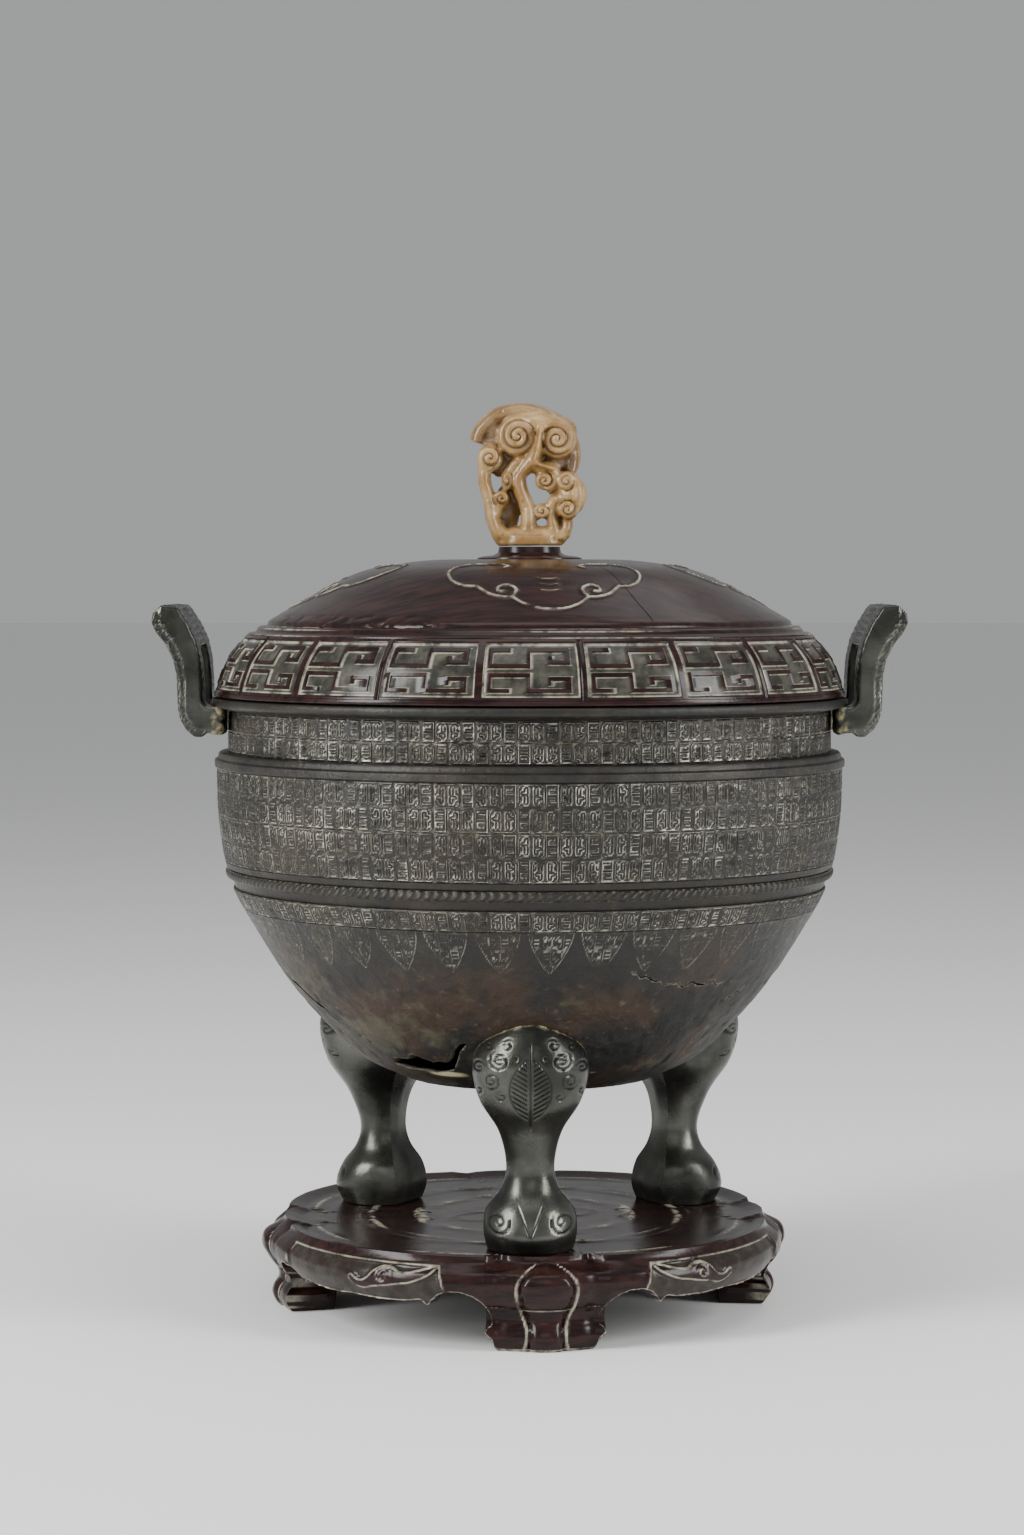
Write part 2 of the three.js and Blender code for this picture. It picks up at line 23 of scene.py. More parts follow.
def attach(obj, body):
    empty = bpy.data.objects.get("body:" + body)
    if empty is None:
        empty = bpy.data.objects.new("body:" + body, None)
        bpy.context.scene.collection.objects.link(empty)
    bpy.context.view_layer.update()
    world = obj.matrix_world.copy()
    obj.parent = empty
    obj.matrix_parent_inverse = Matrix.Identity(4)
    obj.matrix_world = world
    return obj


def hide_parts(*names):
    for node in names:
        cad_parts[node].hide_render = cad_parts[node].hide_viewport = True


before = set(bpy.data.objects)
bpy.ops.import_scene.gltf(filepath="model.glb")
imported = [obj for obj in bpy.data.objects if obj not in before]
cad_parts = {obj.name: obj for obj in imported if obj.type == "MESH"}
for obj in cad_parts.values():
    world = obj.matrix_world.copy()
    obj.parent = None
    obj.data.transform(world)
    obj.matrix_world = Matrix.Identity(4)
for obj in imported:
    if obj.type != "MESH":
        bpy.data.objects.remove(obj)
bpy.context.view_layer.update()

LOG = logging.getLogger("ding")
MM = 0.001
TAU = 2 * math.pi
FAR = 9.0  # millimetres or widths, farther than any small detail reaches

Array = np.ndarray
Piece = bpy.types.Object
Material = bpy.types.Material
Triple = tuple[float, float, float]
Path = tuple[tuple[float, float], ...]
Placed = tuple[Array, Array, Array]
Place = Callable[[Array, Array], Placed]
Relief = Callable[[Array, Array], Array]


# ---- numbers --------------------------------------------------------------------------


def smooth_path(stations: Sequence[Sequence[float]], count: int) -> Array:
    """Points on a smooth curve through stations.

    Args:
        stations: the points the curve passes through.
        count: how many points to return.

    Returns:
        An array of count points.
    """
    points = np.array(stations, float)
    along = np.linspace(0, len(points) - 1, count)
    low = np.minimum(along.astype(int), len(points) - 2)
    part = (along - low)[:, None]
    before = points[np.maximum(low - 1, 0)]
    start, end = points[low], points[low + 1]
    after = points[np.minimum(low + 2, len(points) - 1)]
    cubic = -before + 3 * start - 3 * end + after
    square = 2 * before - 5 * start + 4 * end - after
    return 0.5 * (2 * start + (end - before) * part + square * part**2 + cubic * part**3)


def step(low: float, high: float, value: Array) -> Array:
    """A smooth rise from 0 at low to 1 at high."""
    part = np.clip((value - low) / (high - low), 0.0, 1.0)
    return part * part * (3 - 2 * part)


def bump(centre: float, half: float, value: Array) -> Array:
    """A smooth hill of height 1 at centre that is 0 from half away."""
    return step(half, 0.0, np.abs(value - centre))


def crest(distance: Array, width: float) -> Array:
    """A rounded line of height 1 at distance 0 that falls away over width."""
    return np.exp(-((distance / width) ** 2))


def wave(phase: Array) -> Array:
    """A ripple from 0 to 1 that is 1 at every whole phase."""
    return 0.5 + 0.5 * np.cos(TAU * phase)


def turn_of(across: Array, along: Array) -> Array:
    """The direction of a place from the origin, in whole turns."""
    return np.arctan2(along, across) / TAU


def wrap(degrees: Array, period: float) -> Array:
    """Degrees folded into half a period on both sides of 0."""
    return (degrees + period / 2) % period - period / 2


def row_of(share: Array, count: int) -> Array:
    """The whole row, from 0 to count, on which each share of a grid's side stands."""
    return np.rint(share * count).astype(int)


def lengths_of(points: Array) -> Array:
    """The length of the way to each point of a path."""
    return np.concatenate([[0], np.cumsum(np.hypot(*np.diff(points, axis=0).T))])


def polar(radius: Array, azimuth: Array, height: Array) -> Array:
    """Points about the vessel's axis.

    Args:
        radius: distances from the axis.
        azimuth: degrees from the front.
        height: heights above the ground.

    Returns:
        One row of x, y and z for each point.
    """
    angle = np.radians(azimuth)
    radius, angle, height = np.broadcast_arrays(radius, angle, height)
    return np.stack([radius * np.sin(angle), -radius * np.cos(angle), height], axis=-1)


def grain(points: Array, size: float, octaves: int, seed: float) -> Array:
    """Fractal noise at points.

    Args:
        points: places in millimetres.
        size: the size of the largest lumps in millimetres.
        octaves: how many finer layers are added.
        seed: a shift that picks another pattern.

    Returns:
        One value for each point, about -1 to 1.
    """
    shift = Vector((seed, seed * 1.7, seed * 2.3))
    scaled = points / size
    values = (noise.fractal(Vector(p) + shift, 1.0, 2.0, octaves) for p in scaled)
    return np.fromiter(values, float, len(scaled))


def facing_front(u: Array, crowding: float = 0.38) -> Array:
    """Azimuths round the vessel, more closely set in front.

    Args:
        u: places round the vessel, from 0 to 1.
        crowding: how much closer the columns in front stand.

    Returns:
        Azimuths from -180 to 180 degrees.
    """
    turn = u - 0.5
    return 360 * turn - np.degrees(crowding * np.sin(TAU * turn))


def away_from(x: Array, y: Array, path: Array) -> Array:
    """Distance from each point to a path.

    Args:
        x: the points' first coordinates.
        y: the points' second coordinates.
        path: closely set points along the path.

    Returns:
        The distance to the nearest of the path's points.
    """
    best = np.full(x.shape, 1e9)
    for px, py in path:
        best = np.minimum(best, (x - px) ** 2 + (y - py) ** 2)
    return np.sqrt(best)


# ---- meshes ---------------------------------------------------------------------------


def deselect() -> None:
    """Leaves nothing selected, so that an operator acts on the new piece alone."""
    if bpy.context.object and bpy.context.object.mode != "OBJECT":
        bpy.ops.object.mode_set(mode="OBJECT")
    bpy.ops.object.select_all(action="DESELECT")


def activate(piece: Piece) -> None:
    """Selects one piece and makes it active.

    Args:
        piece: the piece.
    """
    deselect()
    piece.select_set(True)
    bpy.context.view_layer.objects.active = piece


def coordinates(piece: Piece) -> Array:
    """The piece's vertices in millimetres.

    Args:
        piece: the piece.

    Returns:
        One point for each vertex.
    """
    flat = np.empty(len(piece.data.vertices) * 3)
    piece.data.vertices.foreach_get("co", flat)
    return flat.reshape(-1, 3) / MM


def normals(piece: Piece) -> Array:
    """The piece's vertex normals.

    Args:
        piece: the piece.

    Returns:
        One direction for each vertex.
    """
    flat = np.empty(len(piece.data.vertices) * 3)
    piece.data.vertex_normals.foreach_get("vector", flat)
    return flat.reshape(-1, 3)


def move_vertices(piece: Piece, points: Array) -> None:
    """Puts the piece's vertices at points given in millimetres."""
    piece.data.vertices.foreach_set("co", (points * MM).ravel())
    piece.data.update()


def fit(piece: Piece, size: Sequence[float], centre: Sequence[float]) -> None:
    """Scales the mesh of a unit primitive to a size and sets it at a centre, in millimetres."""
    move_vertices(piece, coordinates(piece) * MM * np.array(size) + np.array(centre))


def store(piece: Piece, name: str, values: Array) -> None:
    """Keeps one number per vertex for the finish to read."""
    layer = piece.data.attributes.get(name) or piece.data.attributes.new(name, "FLOAT", "POINT")
    layer.data.foreach_set("value", np.asarray(values, float))


def close_and_smooth(piece: Piece, angle: float = 40.0) -> None:
    """Merges seams and poles, turns every face outwards and shades it smooth.

    Args:
        piece: the piece to finish.
        angle: edges sharper than this many degrees stay sharp.
    """
    activate(piece)
    bpy.ops.object.mode_set(mode="EDIT")
    bpy.ops.mesh.select_all(action="SELECT")
    bpy.ops.mesh.remove_doubles(threshold=0.002 * MM)
    bpy.ops.mesh.normals_make_consistent(inside=False)
    bpy.ops.object.mode_set(mode="OBJECT")
    bpy.ops.object.shade_smooth_by_angle(angle=math.radians(angle))
    deselect()


def sheet_piece(name: str, columns: int, rows: int, place: Place) -> Piece:
    """A grid primitive bent into a closed shell.

    Args:
        name: the piece's name.
        columns: faces along u.
        rows: faces along v.
        place: gives points, relief and stain for arrays of u and v from 0 to 1.

    Returns:
        The finished piece.
    """
    deselect()
    bpy.ops.mesh.primitive_grid_add(x_subdivisions=columns, y_subdivisions=rows, size=1.0)
    piece = bpy.context.object
    piece.name = name
    flat = coordinates(piece) * MM + 0.5
    points, relief, stain_and_shade = place(flat[:, 0], flat[:, 1])
    move_vertices(piece, points)
    store(piece, "relief", relief)
    store(piece, "stain_and_shade", stain_and_shade)
    close_and_smooth(piece)
    return piece


def apply_modifier(piece: Piece, kind: str, **settings: object) -> None:
    """Adds a modifier and applies it at once.

    Args:
        piece: the piece to change.
        kind: the modifier's type.
        settings: values for the modifier's properties.
    """
    activate(piece)
    modifier = piece.modifiers.new(kind.title(), kind)
    for key, value in settings.items():
        setattr(modifier, key, value)
    bpy.ops.object.modifier_apply(modifier=modifier.name)


def cut(piece: Piece, cutter: Piece) -> None:
    """Cuts one piece with another, which is then deleted."""
    apply_modifier(piece, "BOOLEAN", operation="DIFFERENCE", object=cutter, solver="EXACT")
    bpy.data.objects.remove(cutter)


def slab(name: str, outline: Array, place: Callable[[Array, bool], Array]) -> Piece:
    """A filled outline, extruded to a closed block and then bent into place.

    Args:
        name: the piece's name.
        outline: the corners, two numbers each.
        place: gives points in millimetres for the corners of the lower or the upper end.

    Returns:
        The block.
    """
    deselect()
    bpy.ops.mesh.primitive_circle_add(vertices=len(outline), radius=1.0, fill_type="NGON")
    piece = bpy.context.object
    piece.name = name
    bpy.ops.object.mode_set(mode="EDIT")
    bpy.ops.mesh.select_all(action="SELECT")
    bpy.ops.mesh.extrude_region_move(TRANSFORM_OT_translate={"value": (0, 0, 1)})
    bpy.ops.object.mode_set(mode="OBJECT")
    flat = coordinates(piece) * MM
    turn = turn_of(flat[:, 0], flat[:, 1]) - 0.25
    corner = outline[row_of(turn, len(outline)) % len(outline)]
    ends = place(corner, False), place(corner, True)
    move_vertices(piece, np.where(flat[:, 2:] > 0.5, ends[1], ends[0]))
    close_and_smooth(piece, 30)
    return piece


def hand_over(piece: Piece, material: Material, node: str) -> None:
    """Gives a finished piece its only material and its place in the frame.

    Args:
        piece: the finished piece.
        material: its material.
        node: the CAD node that it replaces.
    """
    piece.data.materials.clear()
    piece.data.materials.append(material)
    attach(piece, "root")
    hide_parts(node)
    LOG.info("%s: %d faces", piece.name, len(piece.data.polygons))


# ---- finishes -------------------------------------------------------------------------


class Patch(NamedTuple):
    """Noise cut to patches: lump size, detail, roughness, where patches start and are full."""

    size: float
    detail: float
    rough: float
    start: float
    full: float
    strength: float = 1.0


class Value:
    """A number that a material's nodes work out; arithmetic with it adds nodes."""

    def __init__(self, book: "NodeBook", socket: bpy.types.NodeSocket) -> None:
        """Keeps the socket that gives the number."""
        self.book = book
        self.socket = socket

    def __add__(self, other: "Value | float") -> "Value":
        """The sum."""
        return self.book.maths("ADD", self, other)

    def __mul__(self, other: "Value | float") -> "Value":
        """The product."""
        return self.book.maths("MULTIPLY", self, other)

    def __rsub__(self, other: float) -> "Value":
        """A plain number less this one."""
        return self.book.maths("SUBTRACT", other, self)

    def or_more(self, other: "Value") -> "Value":
        """The larger of the two."""
        return self.book.maths("MAXIMUM", self, other)

    def between(self, low: float, high: float) -> "Value":
        """Maps low to 0 and high to 1, smoothly and clamped."""
        ends = {"Value": self, "From Min": low, "From Max": high}
        return self.book.node("MapRange", "Result", ends, interpolation_type="SMOOTHSTEP")


class NodeBook:
    """A node material under construction."""

    def __init__(self, name: str, colour: Triple) -> None:
        """Starts a material with one principled shader and a plain colour.

        Args:
            name: the material's name.
            colour: its colour, until others are laid over it.
        """
        self.material = bpy.data.materials.new(name)
        self.material.use_nodes = True
        self.tree = self.material.node_tree
        self.shader = self.tree.nodes["Principled BSDF"]
        self.place = self.node("TexCoord", "Object", {})
        self.colour: Value | Triple = colour

    def put(self, target: bpy.types.NodeSocket, value: object) -> None:
        """Links a value to a socket, or sets a plain one on it.

        Args:
            target: the socket.
            value: a value of the book, a number or a colour.
        """
        if isinstance(value, Value):
            self.tree.links.new(value.socket, target)
        elif target.type == "RGBA" and len(value) == 3:
            target.default_value = (*value, 1)
        else:
            target.default_value = value

    def node(self, kind: str, output: str | int, inputs: dict, **settings: object) -> Value:
        """Adds one node.

        Args:
            kind: the node's type, without the words ShaderNode.
            output: the name or number of the output to use.
            inputs: values for its inputs, by name or number.
            settings: values for its properties.

        Returns:
            The output.
        """
        node = self.tree.nodes.new("ShaderNode" + kind)
        for key, value in settings.items():
            setattr(node, key, value)
        for key, value in inputs.items():
            self.put(node.inputs[key], value)
        return Value(self, node.outputs[output])

    def maths(self, operation: str, first: object, second: object) -> Value:
        """One arithmetic step."""
        return self.node("Math", "Value", {0: first, 1: second}, operation=operation)

    def noise(self, size: float, detail: float, rough: float = 0.55,
              stretch: Triple = (1, 1, 1)) -> Value:
        """Noise over the piece.

        Args:
            size: the size of its lumps in millimetres.
            detail: how many finer layers are added.
            rough: how strong the finer layers are.
            stretch: how many times longer the lumps are along each axis.

        Returns:
            The noise, about 0.5.
        """
        scale = tuple(1 / s for s in stretch)
        place = self.node("Mapping", "Vector", {"Vector": self.place, "Scale": scale})
        settings = {"Scale": 1 / (size * MM), "Detail": detail, "Roughness": rough}
        return self.node("TexNoise", "Fac", {"Vector": place, **settings})

    def patch(self, patch: Patch, shift: Value | None = None) -> Value:
        """Patches of noise, 0 to their strength, more of them where shift is high.

        Args:
            patch: their measures.
            shift: what is added to the noise.

        Returns:
            The patches.
        """
        value = self.noise(patch.size, patch.detail, patch.rough)
        value = (value + shift if shift else value).between(patch.start, patch.full)
        return value if patch.strength == 1.0 else value * patch.strength

    def attribute(self, name: str) -> Value:
        """A number stored on the piece's vertices."""
        return self.node("Attribute", "Fac", {}, attribute_name=name)

    def axis(self, name: str) -> Value:
        """The place along one axis in metres."""
        return self.node("SeparateXYZ", name, {"Vector": self.place})

    def mix(self, part: Value, first: Value | Triple, second: Value | Triple) -> Value:
        """A colour between two colours."""
        return self.node("Mix", 2, {0: part, 6: first, 7: second}, data_type="RGBA")

    def paint(self, part: Value, colour: Value | Triple) -> None:
        """Lays a colour over what is there, as far as part says."""
        self.colour = self.mix(part, self.colour, colour)

    def lumps(self, value: Value, depth: float) -> None:
        """Adds shading relief of depth millimetres over what is there.

        Args:
            value: its height, 0 to 1.
            depth: the millimetres that 1 stands for.
        """
        inputs = {"Distance": depth * MM, "Height": value}
        previous = self.shader.inputs["Normal"].links
        if previous:
            inputs["Normal"] = Value(self, previous[0].from_socket)
        self.put(self.shader.inputs["Normal"], self.node("Bump", "Normal", inputs))

    def finish(self, **inputs: object) -> Material:
        """Sets the shader's inputs and closes the material.

        Args:
            inputs: values for the shader's inputs, with _ for each space.

        Returns:
            The finished material.
        """
        self.put(self.shader.inputs["Base Color"], self.colour)
        for name, value in inputs.items():
            self.put(self.shader.inputs[name.replace("_", " ")], value)
        return self.material


@dataclass(frozen=True)
class BodyBronze:
    """Worn, earth-stained cast bronze of the bowl, with painted highlight on its raised lines."""

    dark: Triple = (0.015, 0.0145, 0.013)
    brown: Triple = (0.041, 0.0245, 0.0150)
    silver: Triple = (0.36, 0.35, 0.30)
    dust: Triple = (0.135, 0.12, 0.078)
    ochre: Triple = (0.135, 0.10, 0.055)
    olive: Triple = (0.082, 0.077, 0.044)
    near_black: Triple = (0.008, 0.0075, 0.007)
    lime: Triple = (0.50, 0.44, 0.26)
    blotch: Patch = Patch(34, 5, 0.6, 0.42, 0.62)
    verdigris: Patch = Patch(21, 6, 0.65, 0.56, 0.70)
    fleck: Patch = Patch(5.5, 8, 0.7, 0.58, 0.70)
    dark_patches: Patch = Patch(28, 6, 0.62, 0.54, 0.66, 0.85)
    grit: Patch = Patch(2.2, 6, 0.7, 0.38, 0.62, 0.8)
    worn: Patch = Patch(9, 6, 0.65, 0.36, 0.60)
    soil_top: float = 0.160
    soil_full: float = 0.122

    def make(self) -> Material:
        """Builds the material: colours from the ground up, then metal and gloss.

        Returns:
            The material.
        """
        book = NodeBook("body_bronze", self.dark)
        low = book.axis("Z").between(self.soil_top, self.soil_full)
        left = book.axis("X").between(0.0, -0.05) * 0.08
        right = book.axis("X").between(-0.005, 0.05) * 0.12
        relief, scar = book.attribute("relief"), book.attribute("stain_and_shade")
        hollow = relief.between(0.34, 0.08)
        # Silver on the raised lines, in patches: partly worn metal, partly painted highlight.
        shine = relief.between(0.46, 0.82) * book.patch(self.worn)
        book.paint((low + 0.25) * book.patch(self.blotch), self.brown)
        book.paint(book.patch(self.verdigris, left) * (low * 0.5 + 0.16), self.olive)
        book.paint(book.patch(self.fleck) * (low * 0.7 + 0.12), self.ochre)
        # Near-black patches on the lower body, more of them towards the right (+X).
        book.paint(low * book.patch(self.dark_patches, right), self.near_black)
        book.paint(hollow * book.patch(self.grit), self.dust)
        book.paint(shine, self.silver)
        book.paint(scar.between(0.25, 0.8), self.lime)
        dull = (hollow * 0.9).or_more(scar.between(0.2, 0.7))
        book.lumps(book.noise(2.4, 8, 0.7), 0.35)
        book.lumps(book.noise(11, 5, 0.6), 0.7)
        return book.finish(Metallic=(shine * 0.5 + 0.42) * (1.0 - dull),
                           Roughness=book.noise(4, 5) * 0.26 + 0.25 + low * 0.14)


@dataclass(frozen=True)
class SmoothBronze:
    """Pewter-grey polished bronze of the legs and handles, with painted shade in the grooves and
    painted highlight on the edges.
    """

    grey: Triple = (0.036, 0.037, 0.033)
    pale: Triple = (0.105, 0.106, 0.094)
    green: Triple = (0.052, 0.056, 0.032)
    rust: Triple = (0.10, 0.048, 0.027)
    crust: Triple = (0.25, 0.22, 0.11)
    groove: Triple = (0.012, 0.012, 0.011)
    edge: Triple = (0.45, 0.44, 0.40)
    cloud: Patch = Patch(26, 4, 0.55, 0.35, 0.68)
    verdigris: Patch = Patch(15, 6, 0.65, 0.52, 0.70, 0.5)
    fleck: Patch = Patch(7, 7, 0.7, 0.62, 0.72, 0.6)
    grit: Patch = Patch(1.6, 6, 0.7, 0.35, 0.6)

    def make(self) -> Material:
        """Builds the material.

        Returns:
            The material.
        """
        book = NodeBook("smooth_bronze", self.grey)
        relief = book.attribute("relief")
        joined = book.attribute("stain_and_shade").between(0.2, 0.8) * book.patch(self.grit)
        book.paint(book.patch(self.cloud), self.pale)
        book.paint(book.patch(self.verdigris), self.green)
        book.paint(book.patch(self.fleck), self.rust)
        # Painted shade: darker in the engraved lines of the legs and the ripple troughs of the
        # handles.
        book.paint(relief.between(0.45, 0.1) * 0.65, self.groove)
        # Painted highlight: pale along the handles' edge line and on the ripple crests.
        book.paint(relief.between(0.62, 0.95) * 0.6, self.edge)
        book.paint(joined, self.crust)
        book.lumps(book.noise(1.3, 6, 0.65), 0.06)
        book.lumps(book.noise(9, 4, 0.5), 0.25)
        return book.finish(Metallic=0.86 - joined * 0.8,
                           Roughness=book.noise(8, 6, 0.6) * 0.24 + 0.17 + joined * 0.3)


@dataclass(frozen=True)
class DarkWood:
    """Polished very dark red-brown hardwood with pale edges, partly worn and partly painted
    highlight, and greyed sunk ground.
    """

    heart: Triple = (0.0095, 0.0042, 0.0042)
    vein: Triple = (0.027, 0.0105, 0.009)
    pale: Triple = (0.42, 0.40, 0.31)
    recess: Triple = (0.024, 0.026, 0.021)
    wash: Triple = (0.105, 0.102, 0.08)
    along_grain: Triple = (7.0, 1.0, 1.0)
    rub_and_sheen: Patch = Patch(6, 6, 0.65, 0.30, 0.62)
    bloom: Patch = Patch(6, 5, 0.6, 0.36, 0.70, 0.75)

    def make(self) -> Material:
        """Builds the material.

        Returns:
            The material.
        """
        book = NodeBook("dark_wood", self.heart)
        streak = book.noise(3.2, 5, 0.6, self.along_grain)
        ground = book.attribute("stain_and_shade").between(0.2, 0.8)
        # Pale raised lines and edges: partly wear, partly painted highlight.
        line = book.attribute("relief").between(0.28, 0.80) * book.patch(self.rub_and_sheen)
        book.paint(streak.between(0.36, 0.66), self.vein)
        book.paint(ground * 0.82, book.mix(book.patch(self.bloom), self.recess, self.wash))
        book.paint(line * 0.85, self.pale)
        book.lumps(streak, 0.10)
        book.lumps(book.noise(1.4, 5, 0.6), 0.04)
        return book.finish(Roughness=book.noise(9, 6, 0.65) * 0.20 + 0.13 + line * 0.12,
                           Specular_IOR_Level=0.18, Coat_Weight=0.10, Coat_Roughness=0.12)


@dataclass(frozen=True)
class HoneyStone:
    """Polished honey-yellow stone with brown pits."""

    honey: Triple = (0.27, 0.148, 0.045)
    cream: Triple = (0.44, 0.285, 0.115)
    rind: Triple = (0.07, 0.034, 0.016)
    shade: Triple = (0.085, 0.042, 0.016)
    glow: Triple = (0.004, 0.0022, 0.001)
    cloud: Patch = Patch(10, 5, 0.6, 0.35, 0.68)
    pit: Patch = Patch(3.2, 8, 0.72, 0.60, 0.69, 0.75)

    def make(self) -> Material:
        """Builds the material.

        Returns:
            The material.
        """
        book = NodeBook("honey_stone", self.honey)
        book.paint(book.patch(self.cloud), self.cream)
        book.paint(book.patch(self.pit), self.rind)
        # Painted shade where the stone lies deep or faces sideways, and in the scroll grooves.
        book.paint(book.attribute("stain_and_shade") * 0.75, self.shade)
        book.paint(book.attribute("relief").between(0.42, 0.05) * 0.85, self.shade)
        book.lumps(book.noise(1.5, 6, 0.7), 0.10)
        return book.finish(Roughness=book.noise(4, 5) * 0.18 + 0.20, Coat_Weight=0.3,
                           Subsurface_Weight=0.18, Subsurface_Radius=self.glow,
                           Subsurface_Scale=1.0)


# ---- interlaced pattern ---------------------------------------------------------------


class Unit(Enum):
    """The small units that repeat along a pattern row."""

    LEFT = 0
    RIGHT = 1
    BARS = 2


@dataclass(frozen=True)
class ScrollPattern:
    """Rows of small interlaced scroll units, as fields of height from 0 to 1.

    A left and a right unit join to one rounded block of nested lines; a unit of bars parts them.
    """

    width: float = 5.2
    height: float = 9.3
    pitch: float = 1.14
    fineness: float = 0.1
    rounding: float = 2.4
    bar_rounding: float = 0.5
    end_gap: float = 2.25
    border_at: float = 0.55
    stack: int = 64
    seed: int = 7

    def stroke(self, unit: Unit) -> Array:
        """The line that a unit's nested lines run round.

        Args:
            unit: which unit.

        Returns:
            Closely set points along it, from the unit's middle.
        """
        top = self.height / 2 - self.end_gap
        if unit is Unit.BARS:
            upper = [(-0.7, top), (1.5, top), (1.5, 0.57), (-1.5, 0.57)]
            lower = [(0.7, -top), (-1.5, -top), (-1.5, -0.57), (1.5, -0.57)]
            runs = [upper, lower]
        else:
            near = 0.75 if unit is Unit.LEFT else -0.75
            runs = [[(near, top), (near, 0.9), (-near * 0.6, 0.9)], [(near, -top), (near, -0.4)]]
        points = [np.linspace(start, end, 24) for run in runs for start, end in zip(run, run[1:])]
        return np.concatenate(points)

    def tile(self, unit: Unit) -> Array:
        """Samples one unit's height field.

        Args:
            unit: which unit.

        Returns:
            Heights from 0.1 to 1, by row and column.
        """
        xs = np.arange(-self.width / 2, self.width / 2, self.fineness)
        ys = np.arange(-self.height / 2, self.height / 2, self.fineness)
        x, y = np.meshgrid(xs, ys)
        ripple = wave(away_from(x, y, self.stroke(unit)) / self.pitch)
        left = x + self.width / 2 if unit is not Unit.RIGHT else np.full_like(x, FAR)
        right = self.width / 2 - x if unit is not Unit.LEFT else np.full_like(x, FAR)
        side = np.minimum(left, right)
        end = self.height / 2 - np.abs(y)
        bend = self.rounding if unit is not Unit.BARS else self.bar_rounding
        corner = bend - np.hypot(np.maximum(bend - side, 0), np.maximum(bend - end, 0))
        inside = np.where((side < bend) & (end < bend), corner, np.minimum(side, end))
        border = crest(inside - self.border_at, 0.3) * 0.9
        core = ripple * step(0.85, 1.15, inside)
        drop = self.height / 2 - self.end_gap
        bead = crest(np.hypot(np.abs(x) - 0.7, y + drop), 0.6)
        return np.clip(np.maximum.reduce([core, border, bead]), 0.1, 1)

    def field(self, count: int) -> Relief:
        """Lays the units side by side round the vessel, some of them upside down.

        Args:
            count: how many units run round the vessel.

        Returns:
            A function that gives heights from 0 to 1 for azimuths and heights in the stack.
        """
        tiles = np.stack([self.tile(unit) for unit in Unit])
        last_row, last_column = tiles.shape[1] - 1, tiles.shape[2] - 1
        draw = np.random.default_rng(self.seed)
        upside_down = draw.integers(0, 2, (self.stack, count // 3 + 1)) == 1

        def sample(azimuth: Array, rise: Array) -> Array:
            """Reads the tiles.

            Args:
                azimuth: degrees from the front.
                rise: millimetres above the lowest row's foot.

            Returns:
                Heights from 0 to 1.
            """
            across = (azimuth % 360) / 360 * count
            column = np.minimum(across.astype(int), count - 1)
            row = np.maximum((rise / self.height).astype(int), 0) % self.stack
            x = (across - column) * last_column
            y = (rise / self.height - np.floor(rise / self.height)) * last_row
            kind = (column + row) % len(Unit)
            turned = upside_down[row, (column + row) // 3 % upside_down.shape[1]]
            y = np.where(turned, last_row - y, y)
            x0 = np.clip(x.astype(int), 0, last_column - 1)
            y0 = np.clip(y.astype(int), 0, last_row - 1)
            fx, fy = x - x0, y - y0
            low = tiles[kind, y0, x0] * (1 - fx) + tiles[kind, y0, x0 + 1] * fx
            high = tiles[kind, y0 + 1, x0] * (1 - fx) + tiles[kind, y0 + 1, x0 + 1] * fx
            return low * (1 - fy) + high * fy

        return sample


# ---- bowl -----------------------------------------------------------------------------


